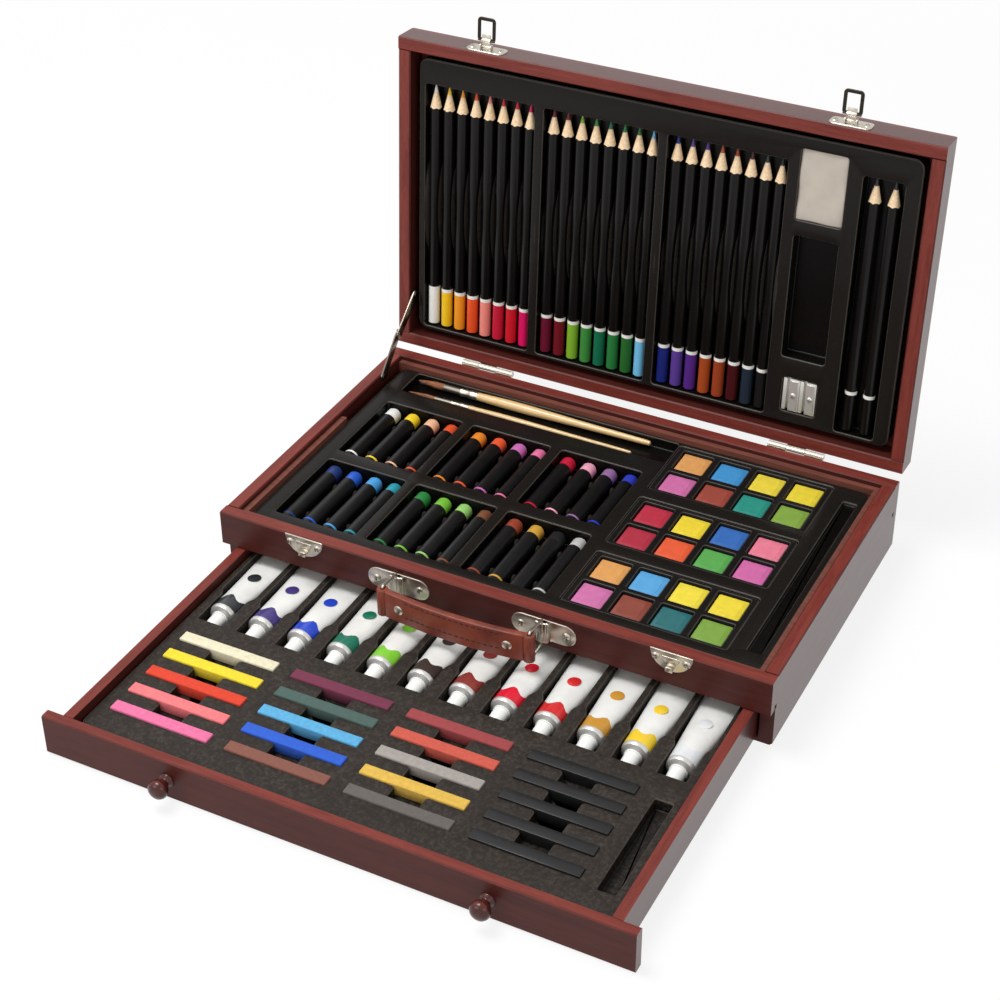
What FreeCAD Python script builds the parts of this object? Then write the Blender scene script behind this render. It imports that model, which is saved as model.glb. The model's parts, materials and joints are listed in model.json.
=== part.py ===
import FreeCAD, Part
import Sketcher
import math
import os
import re
from FreeCAD import Placement, Rotation, Vector

# Wooden art box: a hinged lid lined with pencils, a shallow case of oil pastels
# and watercolours, and a drawer of paint tubes and chalks that slides out below.
# Millimetres. The origin is the middle of the case's underside; +X runs along the
# front to the right, +Y to the back, +Z up. The lid stands open and the drawer
# is drawn out.

doc = FreeCAD.newDocument("pencil_drawer_box")

# ---------------------------------------------------------------- dimensions

dimensions = {
    # case
    "case_width": 375, "case_depth": 227, "wall": 9, "panel": 3,
    "housing_height": 28.5, "upper_height": 24, "front_setback": 7.5,
    "edge_ease": 0.8, "foot_round": 3,
    "lining_thick": 4, "lining_drop": 3.5, "lining_notch_length": 78.5,
    # lid
    "lid_height": 19.6, "seam": 1, "open_angle": 93.9,
    # drawer
    "drawer_travel": 187.5, "drawer_front_thick": 7, "drawer_lift": 0.5,
    "drawer_side_gap": 1.5, "drawer_back_gap": 1.5, "drawer_wall": 6.5,
    "drawer_wall_height": 24.3, "drawer_floor_lift": 0.5, "groove_depth": 3,
    "running_gap": 0.3,
    "knob_spacing": 203.8, "knob_height": 14.4, "knob_ball": 6.2, "knob_reach": 13,
    # hinges
    "hinge_offset": 2.3, "hinge_barrel": 2, "hinge_pin": 1, "hinge_width": 39,
    "hinge_spacing": 230, "hinge_leaf": 0.8, "hinge_leaf_depth": 7,
    "bearing_gap": 0.08, "knuckle_gap": 0.15, "leaf_gap": 0.1,
    # trays
    "tray_gap": 0.3, "tray_skin": 1, "tray_corner": 7, "pocket_corner": 3,
    "tray_drop": 6.5, "lid_tray_drop": 5, "drawer_tray_drop": 5.3,
    # pencils
    "pencil_radius": 4, "pencil_point": 16.6, "pencil_lead": 1.4, "lead_tip": 0.2,
    "pencil_count": 8, "pencil_start": 17, "pencil_front_border": 32,
    "pencil_pocket_margin": 2, "pencil_side_margin": 1, "pencil_rise": 0.4,
    "pencil_border": 3.6, "pencil_group_gap": 4.8,
    "fin_start": 75, "fin_length": 67, "fin_share": 0.65,
    "graphite_pitch": 12.4, "graphite_pocket_width": 29, "graphite_border": 9.5,
    # eraser, sharpener and the empty recess
    "column_gap": 6.1, "graphite_gap": 8.7,
    "eraser_front_border": 21, "eraser_width": 32, "eraser_length": 49, "eraser_play": 0.3,
    "eraser_thick": 9.6, "spare_start": 60, "spare_width": 31.6, "spare_gap": 9,
    "sharpener_start": 22, "sharpener_width": 23, "sharpener_length": 24,
    "sharpener_thick": 10.5, "sharpener_hole": 4, "blade_thick": 0.6,
    # oil pastels
    "oil_radius": 5.5, "oil_pitch": 15.2, "oil_count": 4,
    "oil_group_gap": 6.2, "oil_border": 11, "oil_front_border": 10.2,
    "oil_row_gap": 9.5, "oil_brush_gap": 14.8, "oil_pocket_margin": 1.5, "oil_rise": 0.3,
    # brushes
    "brush_pitch": 14.4, "brush_back_border": 5.2, "brush_left_border": 14.2,
    "brush_rise": 0.2, "brush_pocket_border": 1.3, "brush_pocket_width": 26.6,
    "brush_pocket_margin": 11, "brush_shift": 9, "brush_pocket_deep": 7.6,
    "brush_tip": 22, "brush_ferrule": 26, "brush_belly": 45, "brush_long": 180, "brush_short": 172,
    "brush_thick": 3.2, "brush_slim": 2.1,
    # watercolours
    "palette_gap": 7.9, "palette_side_border": 23.7, "palette_row_gap": 9,
    "palette_height": 7, "palette_front_border": 9.95, "palette_back_border": 2.95,
    "palette_play": 1, "palette_skin": 1,
    "pan_side_border": 4.3, "pan_side_gap": 4.4, "pan_end_border": 2.45, "pan_end_gap": 3.6,
    "pan_height": 3.5,
    # paint tubes
    "tube_side_border": 1.6, "tube_back_border": 4, "tube_count": 12, "tube_radius": 9,
    "tube_tail_gap": 3, "tube_cap": 11, "tube_shoulder": 4, "tube_length": 82,
    "tube_neck": 5, "tube_crimp": 4, "crimp_thick": 1.4,
    # soft pastels and graphite sticks
    "stick_side": 8, "stick_count": 5, "stick_tube_gap": 18.7,
    "column_border": 8.3, "column_gap_width": 11, "column_slot_gap": 9.9, "stick_start": 32.5,
    "stick_gap": 0.3, "finger_width": 22, "finger_depth": 5,
    "slot_border": 4.6, "slot_width": 13, "slot_start": 25, "slot_tube_gap": 19,
    # latches
    "latch_spacing": 249.6, "latch_width": 27, "latch_plate_depth": 11.5,
    "latch_plate_start": 1, "plate_thick": 0.8, "latch_pivot_out": 2.4,
    "latch_pivot_back": 5.5, "latch_pin": 0.8, "ear_radius": 2, "ear_thick": 0.7,
    "lever_width": 6.4, "lever_length": 9, "bail_arm": 4.2, "bail_width": 13,
    "bail_length": 15.5, "bail_strip": 2.1, "bail_bar": 0.7,
    "keeper_radius": 13.5, "hook_drop": 8.4, "hook_width": 5, "hook_out": 4,
    "hook_thick": 2, "hook_lip": 12,
    # handle
    "handle_spacing": 99.5, "handle_middle": -7.5, "handle_plate_length": 43,
    "handle_plate_height": 15, "handle_height": 40.4, "ring_wire": 0.9,
    "ring_reach": 17, "barrel_radius": 2.1, "barrel_out": 2.6,
    "strap_height": 19.2, "strap_thick": 4.6, "strap_bow": 4, "strap_loop": 3.6, "strap_play": 0.3,
    "rivet_radius": 1.5, "rivet_head": 3.2, "rivet_from_end": 13,
    "rivet_seat": 0.03,
    # screws
    "screw_radius": 1.3, "screw_head": 2.7, "screw_head_height": 1.1,
    "screw_length": 6, "handle_screw_spacing": 30, "keeper_screw_spacing": 19.6,
    "keeper_screw_drop": 5, "latch_screw_spacing": 20.6,
    # lid stay
    "stay_arm": 31.5, "stay_width": 7, "stay_thick": 1, "stay_gap": 0.25,
    "stay_foot_back": 78, "stay_foot_drop": 2.5, "stay_lid_along": 38,
    "stay_lid_deep": 5, "stay_pin": 1.5,
}

sheet = doc.addObject("Spreadsheet::Sheet", "Sizes")
for row, (alias, number) in enumerate(dimensions.items(), 1):
    sheet.set(f"A{row}", alias)
    sheet.set(f"B{row}", str(number))
    sheet.setAlias(f"B{row}", alias)
doc.recompute()

# Lengths that several pieces share, as formulas of the sheet's cells.
half_width = "(case_width / 2)"
half_depth = "(case_depth / 2)"
inner_width = "(case_width - 2 * wall)"
inner_depth = "(case_depth - 2 * wall)"
rim = "(housing_height + upper_height)"
deck_top = "(housing_height + panel)"
front_face = "(0 - case_depth / 2)"
hinge_y = "(case_depth / 2 + hinge_offset)"
hinge_z = "(housing_height + upper_height + seam / 2)"
tray_width = "(case_width - 2 * wall - 2 * lining_thick - 2 * tray_gap)"
tray_depth = "(case_depth - 2 * wall - 2 * lining_thick - 2 * tray_gap)"
tray_left = f"(0 - {tray_width} / 2)"
tray_front = f"(0 - {tray_depth} / 2)"
tray_back = f"({tray_depth} / 2)"

# The contents take up the room that the trays give them, less their borders and gaps.
pencil_length = "(case_depth - pencil_start - pencil_front_border)"
eraser_start = "(case_depth - eraser_front_border - eraser_length)"
spare_length = f"({eraser_start} - spare_gap - spare_start)"
oil_length = (f"(({tray_depth} - oil_front_border - oil_row_gap - oil_brush_gap - brush_pocket_width"
              " - brush_pocket_border) / 2 - 2 * oil_pocket_margin)")


# ------------------------------------------------------------------- helpers

def formula(text):
    """The text with each of the sheet's words given as a cell of the sheet."""
    def cell(word):
        return "Sizes." + word.group() if word.group() in dimensions else word.group()
    return re.sub(r"[a-z][a-z0-9_]*", cell, text)


def size(text):
    """A formula's present value."""
    return float(sheet.evalExpression(formula(text)))


def place(item, corner):
    for axis, text in zip("xyz", corner):
        item.setExpression(f"Placement.Base.{axis}", formula(text))
    return item


def box(name, corner, lengths):
    item = doc.addObject("Part::Box", name)
    for side, text in zip(("Length", "Width", "Height"), lengths):
        item.setExpression(side, formula(text))
    return place(item, corner)


def centred_box(name, middle, low_z, lengths):
    """A box on a plan centre (x, y), standing on the height low_z."""
    corner = (f"{middle[0]} - ({lengths[0]}) / 2", f"{middle[1]} - ({lengths[1]}) / 2", low_z)
    return box(name, corner, lengths)


turn_to = {
    "Z": Rotation(),
    "X": Rotation(Vector(0, 1, 0), 90),
    "Y": Rotation(Vector(1, 0, 0), -90),
    "-Y": Rotation(Vector(1, 0, 0), 90),
}


taper_to = {
    "Y": Rotation(),
    "X": Rotation(Vector(0, 0, 1), -90),
}


def cylinder(name, radius, height, base, along="Z"):
    item = doc.addObject("Part::Cylinder", name)
    item.setExpression("Radius", formula(radius))
    item.setExpression("Height", formula(height))
    item.Placement.Rotation = turn_to[along]
    return place(item, base)


def rod(name, radius, height, base, along="Z", flats=8):
    """A slim round piece. There are many, so each is drawn with a few flats."""
    item = doc.addObject("Part::Prism", name)
    item.Polygon = flats
    item.setExpression("Circumradius", formula(radius))
    item.setExpression("Height", formula(height))
    item.Placement.Rotation = turn_to[along]
    return place(item, base)


def wedge(name, low, high, height, base, rotation):
    """A four-sided taper growing along its own Y; low and high are half sizes (x, z)."""
    item = doc.addObject("Part::Wedge", name)
    item.setExpression("Ymin", "0")
    item.setExpression("Ymax", formula(height))
    for end, (half_x, half_z) in (("", low), ("2", high)):
        item.setExpression(f"X{end}min", formula(f"0 - ({half_x})"))
        item.setExpression(f"X{end}max", formula(half_x))
        item.setExpression(f"Z{end}min", formula(f"0 - ({half_z})"))
        item.setExpression(f"Z{end}max", formula(half_z))
    item.Placement.Rotation = rotation
    return place(item, base)


def common(name, items):
    shared = doc.addObject("Part::MultiCommon", name)
    shared.Shapes = items
    return shared


def taper(name, radius1, radius2, height, base, along="Y"):
    """A slim cone, with the same eight flats as a rod: two square tapers share it."""
    low, high = [f"({radius}) * cos(22.5)" for radius in (radius1, radius2)]
    return common(name, [wedge(
        f"{name}_{n}", (low, low), (high, high), height, base,
        taper_to[along] * Rotation(Vector(0, 1, 0), spin)) for n, spin in enumerate((22.5, 67.5))])


def eased_box(name, middle, low_z, lengths, radius, kind="Part::Fillet"):
    """A box with its four upright edges rounded, or cut off where kind is a chamfer."""
    item = centred_box(name, middle, low_z, lengths)
    item.recompute()
    ease = min(size(radius), 0.45 * min(item.Length.Value, item.Width.Value))
    eased = doc.addObject(kind, name + "_eased")
    eased.Base = item
    eased.Edges = [(edge, ease, ease) for edge in (1, 3, 5, 7)]
    return eased


def fuse(name, items):
    joined = doc.addObject("Part::MultiFuse", name)
    joined.Shapes = items
    return joined


def cut(name, base, tools):
    remains = doc.addObject("Part::Cut", name)
    remains.Base = base
    remains.Tool = tools[0] if len(tools) == 1 else fuse(name + "_tools", tools)
    return remains


def group(name, items):
    together = doc.addObject("Part::Compound", name)
    together.Links = items
    return together


def body_outline(body, name, role, points):
    """A closed outline on one of the body's origin planes, each corner bound to formulas."""
    sketch = body.newObject("Sketcher::SketchObject", name)
    plane = next(item for item in body.Origin.OriginFeatures if item.Role == role)
    sketch.AttachmentSupport = (plane, "")
    sketch.MapMode = "FlatFace"
    spots = [(size(x), size(y)) for x, y in points]
    count = len(spots)
    for n, (x, y) in enumerate(spots):
        end = spots[(n + 1) % count]
        sketch.addGeometry(Part.LineSegment(Vector(x, y, 0), Vector(end[0], end[1], 0)), False)
    for n in range(count):
        sketch.addConstraint(Sketcher.Constraint("Coincident", n, 2, (n + 1) % count, 1))
    for n, (x, y) in enumerate(points):
        for kind, text, number in (("DistanceX", x, spots[n][0]), ("DistanceY", y, spots[n][1])):
            held = sketch.addConstraint(Sketcher.Constraint(kind, -1, 1, n, 1, number))
            sketch.setExpression(f"Constraints[{held}]", formula(text))
    return sketch


def padded_body(name, role, points, length, reverse=False):
    """A PartDesign body: one outline, padded."""
    body = doc.addObject("PartDesign::Body", name)
    sketch = body_outline(body, name + "_outline", role, points)
    pad = body.newObject("PartDesign::Pad", name + "_pad")
    pad.Profile = sketch
    pad.Reversed = reverse
    pad.setExpression("Length", formula(length))
    return body


def turned_body(name, points):
    """A PartDesign body: one half outline (radius, height) turned about Z."""
    body = doc.addObject("PartDesign::Body", name)
    sketch = body_outline(body, name + "_outline", "XZ_Plane", points)
    turn = body.newObject("PartDesign::Revolution", name + "_turn")
    turn.Profile = sketch
    turn.ReferenceAxis = (sketch, ["V_Axis"])
    turn.Angle = 360
    return body


nodes = {}


def node(name, item):
    """Keep a finished sub-part where it stands."""
    item.Label = name
    nodes[name] = item
    return item


def lid_node(name, item):
    """Keep a sub-part of the lid. It is drawn with the lid laid open flat behind the
    case, local origin on the hinge pin, and tipped up about that pin."""
    item.Placement.Rotation = Rotation(Vector(1, 0, 0), 1)
    item.setExpression("Placement.Rotation.Angle", formula("180 - open_angle"))
    place(item, ("0", hinge_y, hinge_z))
    return node(name, item)


def drawer_node(name, item):
    """Keep a sub-part of the drawer. It is drawn with the drawer shut, and drawn out."""
    place(item, ("0", "0 - drawer_travel", "0"))
    return node(name, item)


# ------------------------------------------------------- wooden case, upper frame

rebate = "groove_depth"


def rail_outline(outer, sign):
    """Section of an upper rail: eased rim edges and a rebate for the deck below."""
    inner = f"{outer} + {sign} * wall"
    step = f"{outer} + {sign} * (wall - {rebate})"
    return [
        (outer, "housing_height"), (step, "housing_height"), (step, deck_top),
        (inner, deck_top), (inner, f"{rim} - edge_ease"),
        (f"{inner} - {sign} * edge_ease", rim), (f"{outer} + {sign} * edge_ease", rim),
        (outer, f"{rim} - edge_ease"),
    ]


handle_plate_x = [f"(handle_middle + {side} * handle_spacing / 2)" for side in (-1, 1)]
latch_x = [f"({side} * latch_spacing / 2)" for side in (-1, 1)]


def front_screws(name, head_from):
    """Screws through a plate on the case's front face: plan centres, height, start of head."""
    return [(f"{x} + {side} * {spread} / 2", z) for x, spread, z in head_from for side in (-1, 1)]


front_screw_spots = front_screws(
    "spots",
    [(x, "handle_screw_spacing", "handle_height") for x in handle_plate_x]
    + [(x, "keeper_screw_spacing", f"({rim} - keeper_screw_drop)") for x in latch_x])


def screw(name, x, face, z):
    """A round-headed wood screw driven in +Y, its head lying on the height `face`."""
    head = taper(name + "_head", "screw_head * 0.7", "screw_head", "screw_head_height",
                 (x, f"{face} - screw_head_height", z))
    shank = rod(name + "_shank", "screw_radius", "screw_length", (x, face, z), "Y")
    return fuse(name, [head, shank])


def drill(name, x, face, z):
    return rod(name, "screw_radius", "screw_length + 0.2", (x, face, z), "Y")


plate_face = f"({front_face} - plate_thick)"

front_rail = padded_body("front_rail_blank", "YZ_Plane", rail_outline(front_face, 1),
                         "case_width")
place(front_rail, (f"0 - {half_width}", "0", "0"))
front_drills = [drill(f"front_drill_{n}", x, plate_face, z)
                for n, (x, z) in enumerate(front_screw_spots)]
node("upper_front_rail", cut("upper_front_rail_cut", front_rail, front_drills))

back_rail = padded_body("upper_back_rail", "YZ_Plane", rail_outline(half_depth, -1),
                        "case_width")
node("upper_back_rail", place(back_rail, (f"0 - {half_width}", "0", "0")))

side_rails = []
for word, sign in (("left", 1), ("right", -1)):
    outer = f"(0 - {half_width})" if sign == 1 else half_width
    rail = padded_body(f"{word}_rail", "XZ_Plane", rail_outline(outer, sign), inner_depth, True)
    side_rails.append(place(rail, ("0", f"{front_face} + wall", "0")))
node("upper_side_rails", group("side_rails", side_rails))

node("deck_panel", group("deck", [centred_box(
    "deck_board", ("0", "0"), "housing_height",
    (f"{inner_width} + 2 * {rebate}", f"{inner_depth} + 2 * {rebate}", "panel"))]))

# -------------------------------------------------------- housing of the drawer

housing_front = f"({front_face} + front_setback)"
side_height = "(housing_height - panel)"

sides = []
for word, low in (("left", f"0 - {half_width}"), ("right", f"{half_width} - wall")):
    sides.append(box(f"housing_{word}", (low, housing_front, "panel"),
                     ("wall", "case_depth - front_setback - wall", side_height)))
node("housing_sides", group("housing_side_pair", sides))
node("housing_back", group("housing_back_board", [
    box("back_board", (f"0 - {half_width}", f"{half_depth} - wall", "panel"),
        ("case_width", "wall", side_height))]))

bottom_ease = "(foot_round * 0.6)"
bottom = padded_body("bottom_panel", "XZ_Plane", [
    (f"0 - {half_width} + {bottom_ease}", "0"), (f"{half_width} - {bottom_ease}", "0"),
    (half_width, bottom_ease), (half_width, "panel"),
    (f"0 - {half_width}", "panel"), (f"0 - {half_width}", bottom_ease)],
    "case_depth - front_setback", True)
node("bottom_panel", place(bottom, ("0", housing_front, "0")))

# ------------------------------------------------------------- lining of the case

lining_height = f"({rim} - lining_drop - {deck_top})"
lining = [
    centred_box("lining_front", ("0", f"{front_face} + wall + lining_thick / 2"), deck_top,
                (inner_width, "lining_thick", lining_height)),
    centred_box("lining_back", ("0", f"{half_depth} - wall - lining_thick / 2"), deck_top,
                (inner_width, "lining_thick", lining_height)),
]
strip_length = f"({inner_depth} - 2 * lining_thick)"
lining.append(centred_box(
    "lining_right", (f"{half_width} - wall - lining_thick / 2", "0"), deck_top,
    ("lining_thick", strip_length, lining_height)))
# At the left the back stretch is only a low sill, which leaves a bay for the stay.
left_x = f"(0 - {half_width} + wall)"
lining.append(box("lining_left", (left_x, f"0 - {strip_length} / 2", deck_top),
                  ("lining_thick", f"{strip_length} - lining_notch_length", lining_height)))
lining.append(box("lining_sill", (left_x, f"{strip_length} / 2 - lining_notch_length", deck_top),
                  ("lining_thick", "lining_notch_length", "panel")))
node("tray_lining", group("lining", lining))


# ------------------------------------------------------------------------- trays

def tray(name, middle_y, floor, top, width, depth, blocks, pockets, extras=()):
    """A formed plastic tray: a thin top sheet with a skirt down to the board, solid
    blocks under its pockets, and the pockets themselves. Heights are formulas."""
    shell = eased_box(name + "_shell", ("0", middle_y), floor,
                      (width, depth, f"{top} - ({floor})"), "tray_corner")
    hollow = eased_box(name + "_hollow", ("0", middle_y), floor,
                       (f"{width} - 2 * tray_skin", f"{depth} - 2 * tray_skin",
                        f"{top} - ({floor}) - tray_skin"), "tray_corner - tray_skin")
    sheet_and_skirt = cut(name + "_sheet", shell, [hollow])
    solid = fuse(name + "_solid", [sheet_and_skirt] + blocks)
    opened = cut(name + "_opened", solid, pockets)
    return fuse(name + "_formed", [opened] + list(extras)) if extras else opened


def block_and_pocket(name, middle, floor, top, lengths, depth, margin="tray_skin"):
    """The block under a pocket and the pocket that is cut from it."""
    block = centred_box(name + "_block", middle, floor,
                        (f"{lengths[0]} + 2 * {margin}", f"{lengths[1]} + 2 * {margin}",
                         f"{top} - ({floor})"))
    pocket = eased_box(name + "_pocket", middle, f"{top} - ({depth})",
                       (lengths[0], lengths[1], f"({depth}) + 1"), "pocket_corner", "Part::Chamfer")
    return block, pocket


# Tray of the case: oil pastels, brushes and watercolours.
base_top = f"({rim} - tray_drop)"
oil_z = f"({deck_top} + tray_skin + oil_radius + oil_rise)"
oil_depth = f"({base_top} - {deck_top} - tray_skin)"
oil_pocket = ("(oil_count * oil_pitch)", f"({oil_length} + 2 * oil_pocket_margin)")
oil_x = [f"({tray_left} + oil_border + {oil_pocket[0]} / 2 + {i} * ({oil_pocket[0]} + oil_group_gap))"
         for i in range(3)]
oil_y = [f"({tray_front} + oil_front_border + {oil_pocket[1]} / 2"
         f" + {j} * ({oil_pocket[1]} + oil_row_gap))" for j in (1, 0)]
oil_groups = [(x, y) for y in oil_y for x in oil_x]
blocks, pockets = [], []
for n, middle in enumerate(oil_groups):
    block, pocket = block_and_pocket(
        f"oil_{n}", middle, deck_top, base_top,
        oil_pocket, oil_depth)
    blocks.append(block)
    pockets.append(pocket)
brush_left = f"({tray_left} + brush_left_border)"
brush_back = f"({tray_back} - brush_back_border)"
brush_front = f"({brush_back} - brush_pitch)"
block, pocket = block_and_pocket(
    "brush", (f"({brush_left} + brush_long / 2 + brush_shift)",
              f"({tray_back} - brush_pocket_border - brush_pocket_width / 2)"), deck_top, base_top,
    ("(brush_long + 2 * brush_pocket_margin)", "brush_pocket_width"), "brush_pocket_deep")
blocks.append(block)
pockets.append(pocket)
palette_width = (f"({tray_width} - oil_border - 3 * {oil_pocket[0]} - 2 * oil_group_gap"
                 " - palette_gap - palette_side_border - 2 * palette_play)")
palette_depth = (f"(({tray_depth} - palette_front_border - palette_back_border"
                 " - 2 * palette_row_gap) / 3 - 2 * palette_play)")
pan_width = f"(({palette_width} - 2 * pan_side_border - 3 * pan_side_gap) / 4 - 2 * palette_skin)"
pan_depth = f"(({palette_depth} - 2 * pan_end_border - pan_end_gap) / 2 - 2 * palette_skin)"
pan_pitch = f"({pan_width} + 2 * palette_skin + pan_side_gap)"
pan_row_pitch = f"({pan_depth} + 2 * palette_skin + pan_end_gap)"
palette_pocket = (f"({palette_width} + 2 * palette_play)", f"({palette_depth} + 2 * palette_play)")
palette_x = f"({oil_x[2]} + {oil_pocket[0]} / 2 + palette_gap + {palette_pocket[0]} / 2)"
palette_room = f"({tray_depth} - palette_front_border - palette_back_border - {palette_pocket[1]})"
palette_spots = [(palette_x, f"({tray_back} - palette_back_border - {palette_pocket[1]} / 2"
                             f" - {n} * {palette_room} / 2)") for n in range(3)]
palette_floor = f"({base_top} - palette_height)"
for n, middle in enumerate(palette_spots):
    block, pocket = block_and_pocket(
        f"palette_{n}", middle, deck_top, base_top,
        palette_pocket, "palette_height")
    blocks.append(block)
    pockets.append(pocket)
base_tray = tray("base_tray", "0", deck_top, base_top, tray_width, tray_depth, blocks, pockets)
node("base_tray", base_tray)

# Oil pastels lie four to a pocket, tips to the back.
oil_sticks = []
for n, (x, y) in enumerate(oil_groups):
    for i in range(dimensions["oil_count"]):
        oil_sticks.append(rod(
            f"oil_stick_{n}_{i}", "oil_radius", oil_length,
            (f"{x} + ({i} - (oil_count - 1) / 2) * oil_pitch", f"{y} - {oil_length} / 2", oil_z),
            "Y"))
node("oil_pastels", group("oil_pastel_group", oil_sticks))


def brush(name, y, length, radius):
    """Ferrule, bristles and tapered handle of a round brush lying along X."""
    z = f"({base_top} - brush_pocket_deep + 1.1 * {radius} + brush_rise)"
    start = brush_left
    tip = taper(name + "_tip", "0.3", f"{radius} * 0.75", "brush_tip", (start, y, z), "X")
    ferrule = taper(name + "_ferrule", f"{radius} * 0.75", f"{radius} * 0.95", "brush_ferrule",
                   (f"{start} + brush_tip", y, z), "X")
    belly = taper(name + "_belly", f"{radius} * 0.95", f"{radius} * 1.1", "brush_belly",
                 (f"{start} + brush_tip + brush_ferrule", y, z), "X")
    rest = f"{length} - brush_tip - brush_ferrule - brush_belly"
    tail = taper(name + "_tail", f"{radius} * 1.1", f"{radius} * 0.6", rest,
                (f"{start} + brush_tip + brush_ferrule + brush_belly", y, z), "X")
    return tip, ferrule, fuse(name + "_handle", [belly, tail])


brushes = [brush("brush_large", brush_back, "brush_long", "brush_thick"),
           brush("brush_small", brush_front, "brush_short", "brush_slim")]
for label, pieces in zip(("brush_tips", "brush_ferrules", "brush_handles"), zip(*brushes)):
    node(label, group(label + "_pair", list(pieces)))

palettes, pans = [], []
for n, (x, y) in enumerate(palette_spots):
    blank = eased_box(f"palette_blank_{n}", (x, y), palette_floor,
                      (palette_width, palette_depth, "palette_height - palette_skin"),
                      "pocket_corner", "Part::Chamfer")
    wells = []
    for column in range(4):
        for line in range(2):
            spot = (f"{x} + ({column} - 1.5) * {pan_pitch}", f"{y} + ({line} - 0.5) * {pan_row_pitch}")
            wells.append(centred_box(
                f"well_{n}_{column}_{line}", spot, f"{palette_floor} + palette_skin",
                (f"{pan_width} + 2 * palette_skin", f"{pan_depth} + 2 * palette_skin",
                 "palette_height")))
            pans.append(centred_box(f"pan_{n}_{column}_{line}", spot,
                                    f"{palette_floor} + palette_skin",
                                    (pan_width, pan_depth, "pan_height")))
    palettes.append(cut(f"palette_cut_{n}", blank, wells))
node("watercolour_palettes", group("palette_group", palettes))
node("watercolour_pans", group("pan_group", pans))

# ------------------------------------------------------------ fittings of the case

keepers = []
for n, x in enumerate(latch_x):
    moon = doc.addObject("Part::Cylinder", f"keeper_moon_{n}")
    moon.setExpression("Radius", formula("keeper_radius"))
    moon.setExpression("Height", formula("plate_thick"))
    moon.Angle = 180
    moon.Placement.Rotation = turn_to["Y"]
    place(moon, (x, plate_face, rim))
    hook = box(f"keeper_hook_{n}", (f"{x} - hook_width / 2", f"{front_face} - hook_out",
                                   f"{rim} - hook_drop - hook_thick"),
               ("hook_width", "hook_out", "hook_thick"))
    lip = box(f"keeper_lip_{n}", (f"{x} - hook_width / 2", f"{front_face} - hook_out",
                                 f"{rim} - hook_lip"),
              ("hook_width", "plate_thick", "hook_lip - hook_drop"))
    holes = [drill(f"keeper_drill_{n}_{side}", f"{x} + {side} * keeper_screw_spacing / 2",
                   f"{plate_face} - 1", f"{rim} - keeper_screw_drop") for side in (-1, 1)]
    keepers.append(cut(f"keeper_{n}", fuse(f"keeper_whole_{n}", [moon, hook, lip]), holes))
node("keeper_plates", group("keeper_pair", keepers))

handle_plates = []
for n, x in enumerate(handle_plate_x):
    end = "handle_plate_height / 2"
    strip = box(f"handle_strip_{n}", (f"{x} - handle_plate_length / 2 + {end}", plate_face,
                                     f"handle_height - {end}"),
                (f"handle_plate_length - handle_plate_height", "plate_thick",
                 "handle_plate_height"))
    ends = [cylinder(f"handle_end_{n}_{side}", end, "plate_thick",
                     (f"{x} + {side} * (handle_plate_length - handle_plate_height) / 2",
                      plate_face, "handle_height"), "Y") for side in (-1, 1)]
    barrel = rod(f"handle_barrel_{n}", "barrel_radius", "handle_plate_height",
                 (x, f"{front_face} - barrel_out", f"handle_height - {end}"), flats=12)
    saddle = box(f"handle_saddle_{n}", (f"{x} - barrel_radius", f"{front_face} - barrel_out",
                                       f"handle_height - {end}"),
                 ("2 * barrel_radius", "barrel_out", "handle_plate_height"))
    bore = rod(f"handle_bore_{n}", "ring_wire + bearing_gap", "handle_plate_height + 2",
               (x, f"{front_face} - barrel_out", f"handle_height - {end} - 1"), flats=12)
    holes = [drill(f"handle_drill_{n}_{side}", f"{x} + {side} * handle_screw_spacing / 2",
                   f"{plate_face} - 1", "handle_height") for side in (-1, 1)]
    whole = fuse(f"handle_plate_whole_{n}", [strip, barrel, saddle] + ends)
    handle_plates.append(cut(f"handle_plate_{n}", whole, [bore] + holes))
node("handle_plates", group("handle_plate_pair", handle_plates))

node("case_screws", group("case_screw_group", [
    screw(f"case_screw_{n}", x, plate_face, z) for n, (x, z) in enumerate(front_screw_spots)]))

# Butt hinges on the back faces: the base leaf carries the two outer knuckles and the pin.
knuckle = "(hinge_width / 3)"
hinge_x = [f"({side} * hinge_spacing / 2)" for side in (-1, 1)]


def hinge_leaf(name, x, centre, leaf_corner, outer):
    """One leaf with its knuckles on the pin's line (y, z) `centre`."""
    leaf = box(name + "_leaf", leaf_corner, ("hinge_width", "hinge_leaf",
                                             "hinge_leaf_depth + seam / 2 - leaf_gap"))
    barrel = rod(name + "_barrel", "hinge_barrel", "hinge_width",
                 (f"{x} - hinge_width / 2", centre[0], centre[1]), "X", 12)
    bore = rod(name + "_bore", "hinge_pin" if outer else "hinge_pin + bearing_gap",
               "hinge_width + 2", (f"{x} - hinge_width / 2 - 1", centre[0], centre[1]), "X", 12)
    reach = "hinge_offset"
    starts = ([f"{x} - {knuckle} / 2 - knuckle_gap"] if outer
              else [f"{x} - hinge_width / 2 - 1", f"{x} + {knuckle} / 2 - knuckle_gap"])
    wide = f"{knuckle} + 2 * knuckle_gap" if outer else f"{knuckle} + 1 + knuckle_gap"
    gaps = [box(f"{name}_gap_{n}", (start, f"{centre[0]} - ({reach})", f"{centre[1]} - ({reach})"),
                (wide, f"2 * ({reach})", f"2 * ({reach})")) for n, start in enumerate(starts)]
    return cut(name, fuse(name + "_whole", [leaf, barrel]), [bore] + gaps)


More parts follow.
